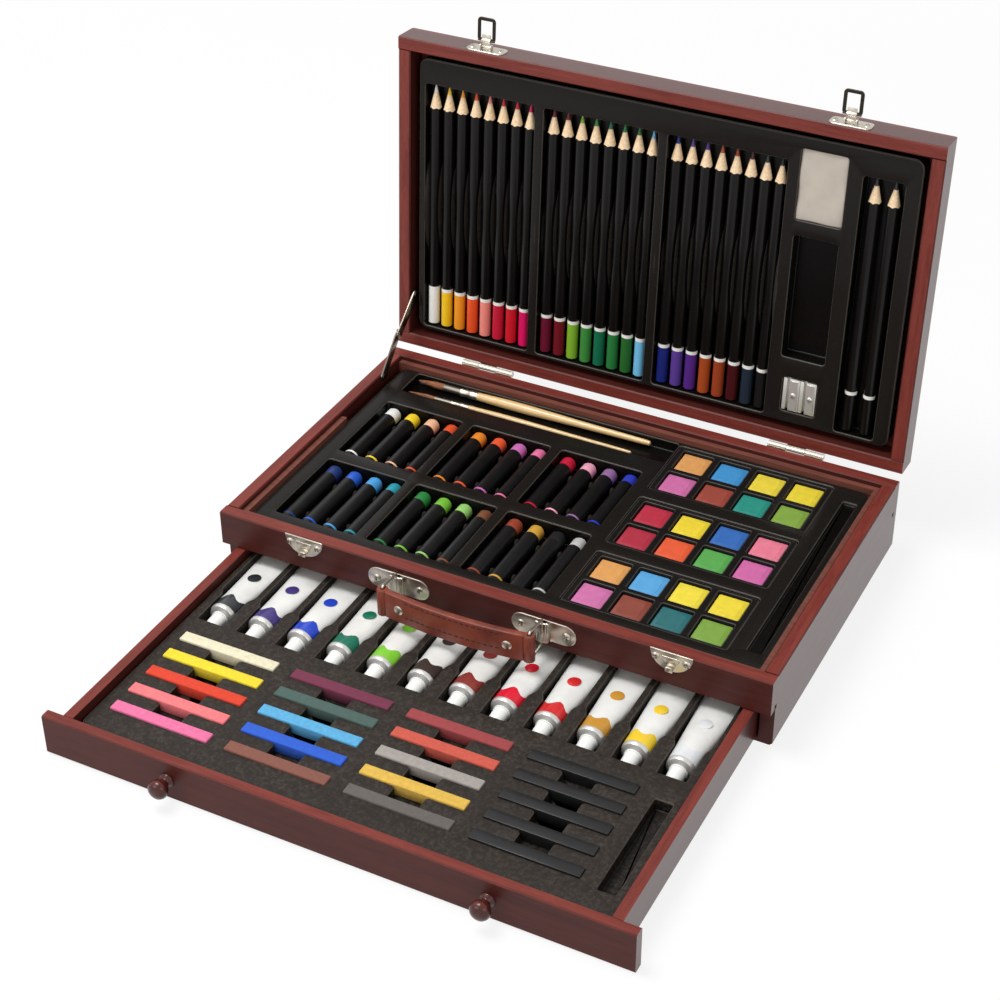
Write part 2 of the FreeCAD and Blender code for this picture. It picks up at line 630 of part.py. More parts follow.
base_leaves = [hinge_leaf(f"base_leaf_{n}", x, (hinge_y, hinge_z),
                          (f"{x} - hinge_width / 2", half_depth, f"{rim} - hinge_leaf_depth"), True)
               for n, x in enumerate(hinge_x)]
node("base_hinge_leaves", group("base_leaf_pair", base_leaves))
node("hinge_pins", group("hinge_pin_pair", [
    rod(f"pin_{n}", "hinge_pin", "hinge_width", (f"{x} - hinge_width / 2", hinge_y, hinge_z),
        "X", 12)
    for n, x in enumerate(hinge_x)]))

# --------------------------------------------------------------------------- lid
# Local frame: the lid laid open flat, its mouth up, origin on the hinge pin.

lid_back = "hinge_offset"
lid_front = "(hinge_offset + case_depth)"
lid_middle = "(hinge_offset + case_depth / 2)"
lid_rim = "(0 - seam / 2)"
lid_floor = f"({lid_rim} - lid_height + panel)"


def lid_rail_outline(outer, sign):
    inner = f"{outer} + {sign} * wall"
    return [
        (outer, lid_floor), (inner, lid_floor), (inner, f"{lid_rim} - edge_ease"),
        (f"{inner} - {sign} * edge_ease", lid_rim), (f"{outer} + {sign} * edge_ease", lid_rim),
        (outer, f"{lid_rim} - edge_ease"),
    ]


latch_plate_face = f"({lid_front} + plate_thick)"
latch_screw_z = f"({lid_rim} - latch_plate_start - latch_plate_depth / 2)"


def latch_screw(name, x):
    head = taper(name + "_head", "screw_head * 0.9", "screw_head * 0.6", "screw_head_height * 0.8",
                 (x, latch_plate_face, latch_screw_z))
    shank = rod(name + "_shank", "screw_radius", "screw_length",
                (x, latch_plate_face, latch_screw_z), "-Y")
    return fuse(name, [head, shank])


latch_screw_x = [f"({x} + {side} * latch_screw_spacing / 2)" for x in latch_x for side in (-1, 1)]


def latch_drill(name, x):
    return rod(name, "screw_radius", "screw_length + 1.2",
               (x, f"{latch_plate_face} + 1", latch_screw_z), "-Y")


lid_front_blank = padded_body("lid_front_blank", "YZ_Plane", lid_rail_outline(lid_front, -1),
                              "case_width")
place(lid_front_blank, (f"0 - {half_width}", "0", "0"))
lid_node("lid_front_rail", cut("lid_front_cut", lid_front_blank, [
    latch_drill(f"lid_drill_{n}", x) for n, x in enumerate(latch_screw_x)]))
lid_back_body = padded_body("lid_back_blank", "YZ_Plane", lid_rail_outline(lid_back, 1),
                            "case_width")
place(lid_back_body, (f"0 - {half_width}", "0", "0"))
lid_node("lid_back_rail", group("lid_back_group", [lid_back_body]))
lid_sides = []
for word, sign in (("left", 1), ("right", -1)):
    outer = f"(0 - {half_width})" if sign == 1 else half_width
    rail = padded_body(f"lid_{word}", "XZ_Plane", lid_rail_outline(outer, sign), inner_depth, True)
    lid_sides.append(place(rail, ("0", f"{lid_back} + wall", "0")))
lid_node("lid_side_rails", group("lid_side_pair", lid_sides))

lid_board = padded_body("lid_board", "XZ_Plane", [
    (f"0 - {half_width} + edge_ease", f"{lid_floor} - panel"),
    (f"{half_width} - edge_ease", f"{lid_floor} - panel"),
    (half_width, f"{lid_floor} - panel + edge_ease"), (half_width, lid_floor),
    (f"0 - {half_width}", lid_floor), (f"0 - {half_width}", f"{lid_floor} - panel + edge_ease")],
    "case_depth", True)
place(lid_board, ("0", lid_back, "0"))
lid_node("lid_panel", group("lid_panel_group", [lid_board]))

lid_tray_top = f"({lid_rim} - lid_tray_drop)"
pocket_depth = f"({lid_tray_top} - {lid_floor} - tray_skin)"
pencil_z = f"({lid_floor} + tray_skin + pencil_radius + pencil_rise)"


def along_lid(distance):
    """Distance up the lid from its hinge-side face."""
    return f"({lid_back} + {distance})"


# Across the lid: three groups of pencils, the column of tools, the graphite pencils.
# The pencils share out what the others leave.
graphite_x = f"({tray_width} / 2 - graphite_border - graphite_pocket_width / 2)"
tools_x = f"({graphite_x} - graphite_pocket_width / 2 - graphite_gap - eraser_width / 2)"
groups_width = (f"({tools_x} - eraser_width / 2 - eraser_play - column_gap - 2 * pencil_group_gap"
                f" - {tray_left} - pencil_border)")
group_width = f"({groups_width} / 3)"
pencil_pitch = f"(({group_width} - 2 * pencil_side_margin) / pencil_count)"
pencil_groups = [f"({tray_left} + pencil_border + {group_width} / 2"
                 f" + {n} * ({group_width} + pencil_group_gap))" for n in range(3)]
pencil_middle_y = along_lid(f"pencil_start + {pencil_length} / 2")
fin_width = f"(({pencil_pitch} - 2 * pencil_radius) * fin_share)"
blocks, pockets, fins = [], [], []
for n, x in enumerate(pencil_groups):
    block, pocket = block_and_pocket(
        f"pencils_{n}", (x, pencil_middle_y), lid_floor, lid_tray_top,
        (group_width, f"({pencil_length} + 2 * pencil_pocket_margin)"),
        pocket_depth)
    blocks.append(block)
    pockets.append(pocket)
    for i in range(dimensions["pencil_count"] - 1):
        fins.append(box(f"fin_{n}_{i}", (
            f"{x} + ({i} + 1 - pencil_count / 2) * {pencil_pitch} - {fin_width} / 2",
            along_lid("fin_start"), lid_floor), (fin_width, "fin_length", pocket_depth)))
for name, middle, lengths in (
        ("graphite", (graphite_x, pencil_middle_y),
         ("graphite_pocket_width", f"({pencil_length} + 2 * pencil_pocket_margin)")),
        ("eraser", (tools_x, along_lid(f"{eraser_start} + eraser_length / 2")),
         ("(eraser_width + 2 * eraser_play)", "(eraser_length + 2 * eraser_play)")),
        ("spare", (tools_x, along_lid(f"spare_start + {spare_length} / 2")),
         ("spare_width", spare_length)),
        ("sharpener", (tools_x, along_lid("sharpener_start + sharpener_length / 2")),
         ("(sharpener_width + 3)", "(sharpener_length + 3)"))):
    block, pocket = block_and_pocket(name, middle, lid_floor, lid_tray_top, lengths, pocket_depth)
    blocks.append(block)
    pockets.append(pocket)
lid_node("lid_tray", tray("lid_tray", lid_middle, lid_floor, lid_tray_top, tray_width, tray_depth,
                          blocks, pockets, fins))


def pencil(name, x):
    """Wooden barrel with its cut point, and the lead that stands out of it."""
    start = along_lid("pencil_start")
    barrel = rod(name + "_barrel", "pencil_radius", f"{pencil_length} - pencil_point",
                 (x, start, pencil_z), "Y")
    share = "(pencil_lead / pencil_radius)"
    shoulder = along_lid(f"pencil_start + {pencil_length} - pencil_point")
    point = taper(name + "_point", "pencil_radius", "pencil_lead",
                  f"pencil_point * (1 - {share})", (x, shoulder, pencil_z))
    wide, fine = [f"({radius}) * cos(45)" for radius in ("pencil_lead", "lead_tip")]
    lead = wedge(name + "_lead", (wide, wide), (fine, fine), f"pencil_point * {share}",
                 (x, f"{shoulder} + pencil_point * (1 - {share})", pencil_z), Rotation())
    return fuse(name, [barrel, point]), lead


pencils = [pencil(f"pencil_{n}_{i}", f"({x} + ({i} - (pencil_count - 1) / 2) * {pencil_pitch})")
           for n, x in enumerate(pencil_groups) for i in range(dimensions["pencil_count"])]
lid_node("colour_pencils", group("colour_pencil_group", [wood for wood, lead in pencils]))
lid_node("colour_leads", group("colour_lead_group", [lead for wood, lead in pencils]))
graphites = [pencil(f"graphite_{side}", f"({graphite_x} + {side} * graphite_pitch / 2)")
             for side in (-1, 1)]
lid_node("graphite_pencils", group("graphite_group", [wood for wood, lead in graphites]))
lid_node("graphite_leads", group("graphite_lead_group", [lead for wood, lead in graphites]))

pocket_floor = f"({lid_floor} + tray_skin)"
lid_node("kneaded_eraser", group("eraser_group", [eased_box(
    "eraser_bar", (tools_x, along_lid(f"{eraser_start} + eraser_length / 2")), pocket_floor,
    ("eraser_width", "eraser_length", "eraser_thick"), "pocket_corner", "Part::Chamfer")]))

# Double-hole sharpener: a wedge-grip metal block, two sloping blades, two screws.
sharp_start = along_lid("sharpener_start")
sharp_block = centred_box("sharp_block", (tools_x, f"({sharp_start} + sharpener_length / 2)"),
                          pocket_floor, ("sharpener_width", "sharpener_length", "sharpener_thick"))
sharp_tools, blades, blade_screws = [], [], []
for side in (-1, 1):
    x = f"({tools_x} + {side} * sharpener_width / 4)"
    sharp_tools.append(taper(f"sharp_hole_{side}", "sharpener_hole / 4", "sharpener_hole",
                             "sharpener_length + 0.2",
                             (x, f"{sharp_start} - 0.1", f"{pocket_floor} + 4.6")))
    sharp_tools.append(box(f"sharp_grip_{side}", (
        f"({tools_x} + {side} * sharpener_width / 2) - 0.8", f"{sharp_start} + 7",
        f"{pocket_floor} - 1"), ("1.6", "10", "sharpener_thick + 2")))
    blades.append(box(f"blade_{side}", (
        f"{x} - 3.6", f"{sharp_start} + 2", f"{pocket_floor} + sharpener_thick"),
        ("7.2", "sharpener_length - 4", "blade_thick")))
    blade_screws.append(rod(f"blade_screw_{side}", "1.9", "0.7", (
        x, f"{sharp_start} + sharpener_length / 2",
        f"{pocket_floor} + sharpener_thick + blade_thick")))
lid_node("sharpener_body", cut("sharpener_cut", sharp_block, sharp_tools))
lid_node("sharpener_blades", group("blade_pair", blades))
lid_node("sharpener_screws", group("blade_screw_pair", blade_screws))

lid_leaves = [hinge_leaf(f"lid_leaf_{n}", x, ("0", "0"),
                         (f"{x} - hinge_width / 2", f"{lid_back} - hinge_leaf",
                          f"{lid_rim} - hinge_leaf_depth"), False)
              for n, x in enumerate(hinge_x)]
lid_node("lid_hinge_leaves", group("lid_leaf_pair", lid_leaves))

# Latches: a plate with two ears on the lid, a lever between them, a bail on the lever.
latch_pivot_y = f"({lid_front} + latch_pivot_out)"
latch_pivot_z = f"({lid_rim} - latch_pivot_back)"
latch_plates = []
for n, x in enumerate(latch_x):
    plate = box(f"latch_base_{n}", (f"{x} - latch_width / 2", lid_front,
                                   f"{lid_rim} - latch_plate_start - latch_plate_depth"),
                ("latch_width", "plate_thick", "latch_plate_depth"))
    parts, holes = [plate], []
    for side in (-1, 1):
        inner = f"({x} + {side} * (lever_width / 2 + 0.2 + ear_thick / 2) - ear_thick / 2)"
        parts.append(rod(f"latch_ear_{n}_{side}", "ear_radius", "ear_thick",
                         (inner, latch_pivot_y, latch_pivot_z), "X", 12))
        parts.append(box(f"latch_cheek_{n}_{side}", (inner, lid_front,
                                                   f"{latch_pivot_z} - ear_radius"),
                         ("ear_thick", "latch_pivot_out", "2 * ear_radius")))
        holes.append(latch_drill(f"latch_drill_{n}_{side}",
                                 f"({x} + {side} * latch_screw_spacing / 2)"))
    holes.append(rod(f"latch_bore_{n}", "latch_pin + bearing_gap", "latch_width",
                     (f"{x} - latch_width / 2", latch_pivot_y, latch_pivot_z), "X", 12))
    latch_plates.append(cut(f"latch_plate_{n}", fuse(f"latch_plate_whole_{n}", parts), holes))
lid_node("latch_plates", group("latch_plate_pair", latch_plates))
lid_node("latch_screws", group("latch_screw_group", [
    latch_screw(f"latch_screw_{n}", x) for n, x in enumerate(latch_screw_x)]))

for word, x in zip(("left", "right"), latch_x):
    pin = rod(f"lever_pin_{word}", "latch_pin", "lever_width + 2 * ear_thick + 0.6",
              (f"{x} - lever_width / 2 - ear_thick - 0.3", latch_pivot_y, latch_pivot_z),
              "X", 12)
    plate = box(f"lever_plate_{word}", (f"{x} - lever_width / 2", f"{latch_pivot_y} - 0.8",
                                       f"{latch_pivot_z} - plate_thick / 2"),
                ("lever_width", "lever_length", "plate_thick"))
    eye = rod(f"lever_eye_{word}", "bail_bar + plate_thick", "lever_width",
              (f"{x} - lever_width / 2", f"{latch_pivot_y} + bail_arm", latch_pivot_z), "X", 12)
    bore = rod(f"lever_bore_{word}", "bail_bar + bearing_gap", "lever_width + 2",
               (f"{x} - lever_width / 2 - 1", f"{latch_pivot_y} + bail_arm", latch_pivot_z),
               "X", 12)
    lid_node(f"latch_lever_{word}", cut(f"lever_{word}", fuse(f"lever_whole_{word}",
                                                               [pin, plate, eye]), [bore]))
    bail_y = f"({latch_pivot_y} + bail_arm)"
    bar = rod(f"bail_bar_{word}", "bail_bar", "bail_width - 0.2",
              (f"{x} - bail_width / 2 + 0.1", bail_y, latch_pivot_z), "X", 12)
    loop = padded_body(f"bail_loop_{word}", "XY_Plane", [
        ("0 - bail_width / 2", "0 - bail_bar"), ("bail_strip - bail_width / 2", "0 - bail_bar"),
        ("bail_strip - bail_width / 2", "bail_length - bail_strip - 3"),
        ("bail_strip + 2 - bail_width / 2", "bail_length - bail_strip"),
        ("bail_width / 2 - bail_strip - 2", "bail_length - bail_strip"),
        ("bail_width / 2 - bail_strip", "bail_length - bail_strip - 3"),
        ("bail_width / 2 - bail_strip", "0 - bail_bar"), ("bail_width / 2", "0 - bail_bar"),
        ("bail_width / 2", "bail_length - 3"), ("bail_width / 2 - 2", "bail_length"),
        ("2 - bail_width / 2", "bail_length"), ("0 - bail_width / 2", "bail_length - 3")],
        "plate_thick")
    place(loop, (x, bail_y, f"{latch_pivot_z} - plate_thick / 2"))
    lid_node(f"latch_bail_{word}", fuse(f"bail_{word}", [bar, loop]))

# ------------------------------------------------------------------------ drawer
# Drawn shut, then moved forward by drawer_travel.

drawer_low = f"(panel + running_gap)"
drawer_back_face = f"({half_depth} - wall - drawer_back_gap)"
drawer_half = f"({inner_width} / 2 - drawer_side_gap)"
box_front = f"({front_face} + drawer_front_thick)"
drawer_floor = f"({drawer_low} + drawer_floor_lift)"
drawer_top = f"({drawer_low} + drawer_wall_height)"
box_depth = f"({drawer_back_face} - {box_front})"

front_height = "(housing_height - running_gap - drawer_lift)"
front_board = padded_body("drawer_front_blank", "YZ_Plane", [
    (f"{front_face} + edge_ease", "drawer_lift"), (box_front, "drawer_lift"),
    (box_front, f"drawer_lift + {front_height} - edge_ease"),
    (f"{box_front} - edge_ease", f"drawer_lift + {front_height}"),
    (f"{front_face} + edge_ease", f"drawer_lift + {front_height}"),
    (front_face, f"drawer_lift + {front_height} - edge_ease"),
    (front_face, "drawer_lift + edge_ease")], "case_width")
place(front_board, (f"0 - {half_width}", "0", "0"))
knob_x = [f"({side} * knob_spacing / 2)" for side in (-1, 1)]
knob_drills = [rod(f"knob_drill_{n}", "screw_radius", "drawer_front_thick + 2",
                   (x, f"{front_face} - 1", "knob_height"), "Y") for n, x in enumerate(knob_x)]
drawer_node("drawer_front", cut("drawer_front_cut", front_board, knob_drills))

groove_low = drawer_floor
drawer_sides = []
for word, sign in (("left", 1), ("right", -1)):
    outer = f"(0 - {drawer_half})" if sign == 1 else drawer_half
    inner = f"({outer} + {sign} * drawer_wall)"
    bed = f"({inner} - {sign} * groove_depth)"
    side = padded_body(f"drawer_{word}", "XZ_Plane", [
        (outer, drawer_low), (inner, drawer_low), (inner, groove_low), (bed, groove_low),
        (bed, f"{groove_low} + panel"), (inner, f"{groove_low} + panel"),
        (inner, drawer_top), (outer, drawer_top)], f"{box_depth} - drawer_wall", True)
    drawer_sides.append(place(side, ("0", box_front, "0")))
drawer_node("drawer_sides", group("drawer_side_pair", drawer_sides))
drawer_node("drawer_back", group("drawer_back_group", [
    box("drawer_back_board", (f"0 - {drawer_half}", f"{drawer_back_face} - drawer_wall",
                              f"{groove_low} + panel"),
        (f"2 * {drawer_half}", "drawer_wall", f"{drawer_top} - {groove_low} - panel"))]))
drawer_node("drawer_bottom", group("drawer_bottom_group", [
    box("drawer_bottom_board", (f"0 - {drawer_half} + drawer_wall - groove_depth", box_front,
                                groove_low),
        (f"2 * ({drawer_half} - drawer_wall + groove_depth)", box_depth, "panel"))]))

knobs, knob_screws = [], []
for n, x in enumerate(knob_x):
    knob = turned_body(f"knob_{n}", [
        ("screw_radius", "0"), ("knob_ball * 0.65", "0"),
        ("knob_ball * 0.5", "knob_reach * 0.35"), ("knob_ball", "knob_reach * 0.62"),
        ("knob_ball * 0.75", "knob_reach"), ("0", "knob_reach"),
        ("0", "knob_reach * 0.6"), ("screw_radius", "knob_reach * 0.6")])
    knob.Placement.Rotation = turn_to["-Y"]
    knobs.append(place(knob, (x, front_face, "knob_height")))
    knob_screws.append(fuse(f"knob_screw_{n}", [
        rod(f"knob_screw_head_{n}", "2 * screw_radius", "screw_head_height",
            (x, box_front, "knob_height"), "Y"),
        rod(f"knob_screw_shank_{n}", "screw_radius", "drawer_front_thick + 0.5 * knob_reach",
            (x, box_front, "knob_height"), "-Y")]))
drawer_node("drawer_knobs", group("knob_pair", knobs))
drawer_node("knob_screws", group("knob_screw_pair", knob_screws))

# Tray of the drawer. Distances run back from the drawer's front face.
tray_bed = f"({groove_low} + panel)"
drawer_tray_top = f"({drawer_top} - drawer_tray_drop)"
drawer_tray_width = "(case_width - 2 * wall - 2 * drawer_side_gap - 2 * drawer_wall - 6 * tray_gap)"
drawer_tray_depth = f"({box_depth} - drawer_wall - 2 * screw_head_height - 6 * tray_gap)"
drawer_tray_middle = f"(({box_front} + {drawer_back_face} - drawer_wall) / 2)"


def back_from_front(distance):
    return f"({front_face} + {distance})"


tube_depth = f"({drawer_tray_top} - {tray_bed} - tray_skin)"
tube_pitch = f"(({drawer_tray_width} - 2 * tube_side_border) / tube_count)"
tube_x = [f"(({n} - (tube_count - 1) / 2) * {tube_pitch})" for n in range(dimensions["tube_count"])]
tube_tail_width = f"({tube_pitch} - tube_tail_gap)"
tube_end = f"({drawer_tray_middle} + {drawer_tray_depth} / 2 - tube_back_border)"
tube_start = f"({tube_end} - tube_length)"
tube_middle_y = f"({tube_end} - tube_length / 2)"
blocks = [centred_box("tubes_block", ("0", tube_middle_y), tray_bed,
                      (f"tube_count * {tube_pitch}", "tube_length + 5",
                       f"{drawer_tray_top} - {tray_bed}"))]
pockets = []
tail_bay = "(tube_length * 0.62)"
for n, x in enumerate(tube_x):
    pockets.append(centred_box(f"tube_bay_{n}", (x, tube_middle_y), f"{tray_bed} + tray_skin",
                               ("(2 * tube_radius + 2)", "(tube_length + 1.6)", f"{tube_depth} + 1")))
    pockets.append(centred_box(
        f"tube_tail_bay_{n}",
        (x, f"({tube_end} - {tail_bay} / 2 + 0.4)"), f"{tray_bed} + tray_skin",
        (f"({tube_tail_width} + 1)", f"({tail_bay} + 0.8)", f"{tube_depth} + 1")))
stick_depth = f"(stick_side - 1)"
slot_x = f"({drawer_tray_width} / 2 - slot_border - slot_width / 2)"
slot_length = f"({tube_start} - {front_face} - slot_tube_gap - slot_start)"
bay_length = (f"(({drawer_tray_width} - column_border - 3 * column_gap_width - column_slot_gap"
              " - slot_width - slot_border) / 4)")
stick_length = f"({bay_length} - 2 * stick_gap)"
stick_pitch = f"(({tube_start} - {front_face} - stick_start - stick_tube_gap) / (stick_count - 1))"
column_x = [f"(0 - {drawer_tray_width} / 2 + column_border + {bay_length} / 2"
            f" + {n} * ({bay_length} + column_gap_width))" for n in range(4)]
rows_middle = back_from_front(f"stick_start + (stick_count - 1) / 2 * {stick_pitch}")
for c, x in enumerate(column_x):
    blocks.append(centred_box(f"column_block_{c}", (x, rows_middle), tray_bed,
                              (f"{stick_length} + 3", f"stick_count * {stick_pitch}",
                               f"{drawer_tray_top} - {tray_bed}")))
    for r in range(dimensions["stick_count"]):
        pockets.append(centred_box(
            f"stick_bay_{c}_{r}", (x, back_from_front(f"stick_start + {r} * {stick_pitch}")),
            f"{drawer_tray_top} - {stick_depth}",
            (bay_length, "stick_side + 2 * stick_gap", "stick_side")))
    pockets.append(centred_box(
        f"finger_bay_{c}", (x, rows_middle), f"{drawer_tray_top} - finger_depth",
        ("finger_width", f"(stick_count - 1) * {stick_pitch}", "finger_depth + 1")))
block, pocket = block_and_pocket(
    "slot", (slot_x, back_from_front(f"slot_start + {slot_length} / 2")), tray_bed,
    drawer_tray_top, ("slot_width", slot_length), "stick_side")
blocks.append(block)
pockets.append(pocket)
drawer_node("drawer_tray", tray("drawer_tray", drawer_tray_middle, tray_bed, drawer_tray_top,
                                drawer_tray_width, drawer_tray_depth, blocks, pockets))


def eight_sided(name, low, high, height, base):
    """A taper of eight flats: one wedge keeps its width and height, another, turned by
    an eighth of a circle, takes off its corners. low and high are half sizes (x, z)."""
    shares = [f"max(({x}); (({x}) + ({z})) * cos(45))" for x, z in (low, high)]
    return common(name, [
        wedge(name + "_flat", low, high, height, base, Rotation()),
        wedge(name + "_turned", (shares[0], shares[0]), (shares[1], shares[1]), height, base,
              Rotation(Vector(0, 1, 0), 45))])


tubes, caps = [], []
tube_z = f"({tray_bed} + tray_skin + tube_radius)"
body_length = "(tube_length - tube_cap - tube_shoulder - tube_crimp)"
for n, x in enumerate(tube_x):
    full = ("tube_radius", "tube_radius")
    flat = (f"{tube_tail_width} / 2", "crimp_thick / 2")
    shoulder_at = f"({tube_start} + tube_cap)"
    shoulder = taper(f"tube_shoulder_{n}", "tube_neck", "tube_radius", "tube_shoulder",
                     (x, shoulder_at, tube_z))
    body = eight_sided(f"tube_body_{n}", full, flat, body_length,
                       (x, f"({shoulder_at} + tube_shoulder)", tube_z))
    crimp = centred_box(f"tube_crimp_{n}", (x, f"({tube_end} - tube_crimp / 2)"),
                        f"{tube_z} - crimp_thick / 2",
                        (tube_tail_width, "tube_crimp", "crimp_thick"))
    tubes.append(fuse(f"tube_{n}", [shoulder, body, crimp]))
    caps.append(taper(f"tube_cap_{n}", "tube_neck * 0.98", "tube_neck * 1.15", "tube_cap",
                      (x, tube_start, tube_z)))
drawer_node("paint_tubes", group("tube_group", tubes))
drawer_node("tube_caps", group("cap_group", caps))

stick_z = f"({drawer_tray_top} - {stick_depth})"


def stick(c, r):
    return centred_box(f"stick_{c}_{r}", (
        column_x[c], back_from_front(f"stick_start + {r} * {stick_pitch}")), stick_z,
        (stick_length, "stick_side", "stick_side"))


rows = range(dimensions["stick_count"])
drawer_node("soft_pastels", group("soft_pastel_group", [stick(c, r) for c in range(3) for r in rows]))
drawer_node("graphite_sticks", group("graphite_stick_group", [stick(3, r) for r in rows]))

# ------------------------------------------------------------------------ handle
# Two wire rings turn in the plates' barrels, and a bowed leather strap joins them.

ring_y = f"({front_face} - barrel_out)"
leg_y = f"({ring_y} - ring_reach)"
ring_half = "(handle_plate_height / 2 + ring_wire + 0.4)"
leg_half = "(strap_height / 2 + ring_wire + 0.6)"
for word, x in zip(("left", "right"), handle_plate_x):
    legs = [
        rod(f"ring_inner_{word}", "ring_wire", f"2 * {ring_half}",
            (x, ring_y, f"handle_height - {ring_half}"), flats=12),
        rod(f"ring_outer_{word}", "ring_wire", f"2 * {leg_half}",
            (x, leg_y, f"handle_height - {leg_half}"), flats=12),
    ]
    rise = size(leg_half) - size(ring_half)
    reach = size("ring_reach")
    for side in (-1, 1):
        arm = doc.addObject("Part::Prism", f"ring_arm_{word}_{side}")
        arm.Polygon = 12
        arm.setExpression("Circumradius", formula("ring_wire"))
        arm.Height = math.hypot(reach, rise)
        start = Vector(size(x), size(ring_y), size("handle_height") + side * size(ring_half))
        arm.Placement = Placement(start, Rotation(Vector(0, 0, 1), Vector(0, -reach, side * rise)))
        legs.append(arm)
    node(f"handle_ring_{word}", fuse(f"ring_{word}", legs))

bow_radius = "((handle_spacing / 2)^2 / (2 * strap_bow) + strap_bow / 2)"
bow_angle = f"(2 * asin(handle_spacing / 2 / {bow_radius}))"
bow_centre = ("handle_middle", f"({leg_y} - strap_bow + {bow_radius})")
strap_low = "(handle_height - strap_height / 2)"


def bow_sector(name, radius):
    item = doc.addObject("Part::Cylinder", name)
    item.setExpression("Radius", formula(radius))
    item.setExpression("Height", formula("strap_height"))
    item.setExpression("Angle", formula(bow_angle))
    item.Placement.Rotation = Rotation(Vector(0, 0, 1), 270 - size(bow_angle) / 2)
    return place(item, (bow_centre[0], bow_centre[1], strap_low))


band = cut("strap_band", bow_sector("strap_outer", f"{bow_radius} + strap_thick / 2"),
           [bow_sector("strap_inner", f"{bow_radius} - strap_thick / 2")])
loops = [cylinder(f"strap_loop_{n}", "strap_loop", "strap_height", (x, leg_y, strap_low))
         for n, x in enumerate(handle_plate_x)]
bores = [rod(f"strap_bore_{n}", "ring_wire + strap_play", "strap_height + 2",
             (x, leg_y, f"{strap_low} - 1"), flats=12) for n, x in enumerate(handle_plate_x)]


def rivet(name, side):
    """A rivet through the strap, on the bow's radius, a set way in from the strap's end."""
    shank = rod(name + "_shank", "rivet_radius", "strap_thick + rivet_seat",
                (f"{bow_radius} - strap_thick / 2 - rivet_seat", "0", "0"), "X")
    heads = [rod(f"{name}_head_{n}", "rivet_head", "plate_thick", (at, "0", "0"), "X")
             for n, at in enumerate((f"{bow_radius} + strap_thick / 2",
                                     f"{bow_radius} - strap_thick / 2 - rivet_seat - plate_thick"))]
    whole = fuse(name, [shank] + heads)
    turn = math.degrees((size("handle_spacing") / 2 - size("rivet_from_end")) / size(bow_radius))
    whole.Placement.Rotation = Rotation(Vector(0, 0, 1), 270 + side * turn)
    place(whole, (bow_centre[0], bow_centre[1], "handle_height"))
    hole = rod(name + "_hole", "rivet_radius", "strap_thick + 4",
               (f"{bow_radius} - strap_thick / 2 - 2", "0", "0"), "X")
    carried = group(name + "_hole_turned", [hole])
    carried.Placement.Rotation = whole.Placement.Rotation
    place(carried, (bow_centre[0], bow_centre[1], "handle_height"))
    return whole, carried


rivets = [rivet("rivet_left", -1), rivet("rivet_right", 1)]
node("handle_strap", cut("strap", fuse("strap_whole", [band] + loops),
                         bores + [hole for whole, hole in rivets]))
node("strap_rivets", group("rivet_pair", [whole for whole, hole in rivets]))

# --------------------------------------------------------------------- lid stay
# Two equal arms in the gap beside the trays, at the left. The lower arm turns on
# the case, the upper one on the lid, and they meet at an elbow.

stay_x = f"(0 - {half_width} + wall)"
tip = math.radians(180 - size("open_angle"))
lid_along = size("hinge_offset + stay_lid_along")
lid_deep = size(f"{lid_rim} - stay_lid_deep")
foot = Vector(0, size("stay_foot_back"), size(f"{rim} - stay_foot_drop"))
head = Vector(0, size(hinge_y) + lid_along * math.cos(tip) - lid_deep * math.sin(tip),
              size(hinge_z) + lid_along * math.sin(tip) + lid_deep * math.cos(tip))
span = head - foot
square = span.cross(Vector(1, 0, 0)).normalize()
elbow = (foot + head) / 2 - square * math.sqrt(max(size("stay_arm")**2 - span.Length**2 / 4, 0))


def stay_arm(name, start, end, layer, round_parts):
    """A flat arm from start to end in the plane across the box; its layer counts from
    the wall. Round parts are (name, radius, from, height) about the start."""
    low = f"(stay_gap + {layer} * (stay_thick + stay_gap))"
    reach = f"stay_arm"
    parts = [box(name + "_bar", (low, "0", "0 - stay_width / 2"),
                 ("stay_thick", reach, "stay_width"))]
    parts += [cylinder(f"{name}_end_{n}", "stay_width / 2", "stay_thick", (low, at, "0"), "X")
              for n, at in enumerate(("0", reach))]
    hole = rod(name + "_hole", "stay_pin + bearing_gap", "4", ("0 - 1", "0", "0"), "X", 12)
    arm = cut(name, fuse(name + "_whole", parts + round_parts), [hole])
    along = end - start
    turn = math.degrees(math.atan2(along.z, along.y))
    arm.Placement.Rotation = Rotation(Vector(1, 0, 0), turn)
    arm.Placement.Base = Vector(size(stay_x), start.y, start.z)
    return arm


node("stay_lower_arm", stay_arm("lower_arm", foot, elbow, 0, []))
elbow_head = rod("elbow_head", "stay_width / 3", "0.6",
                 ("2 * (stay_gap + stay_thick)", "stay_arm", "0"), "X")
node("stay_upper_arm", stay_arm("upper_arm", head, elbow, 1, [elbow_head]))


def stay_pivot(name, layer):
    """A pin from the wall through an arm, with a head that keeps it on."""
    length = f"(stay_gap + {layer} * (stay_thick + stay_gap) + stay_thick + stay_gap / 2)"
    shank = rod(name + "_shank", "stay_pin", length, ("0", "0", "0"), "X", 12)
    cap = rod(name + "_cap", "stay_width / 3", "0.6", (length, "0", "0"), "X")
    return fuse(name, [shank, cap])


foot_pin = stay_pivot("foot_pin", 0)
foot_pin.Placement.Base = Vector(size(stay_x), foot.y, foot.z)
node("stay_foot_pin", foot_pin)
head_pin = stay_pivot("head_pin", 1)
place(head_pin, (stay_x, along_lid("stay_lid_along"), f"{lid_rim} - stay_lid_deep"))
lid_node("stay_head_pin", group("head_pin_group", [head_pin]))

# ------------------------------------------------------------------ check, write

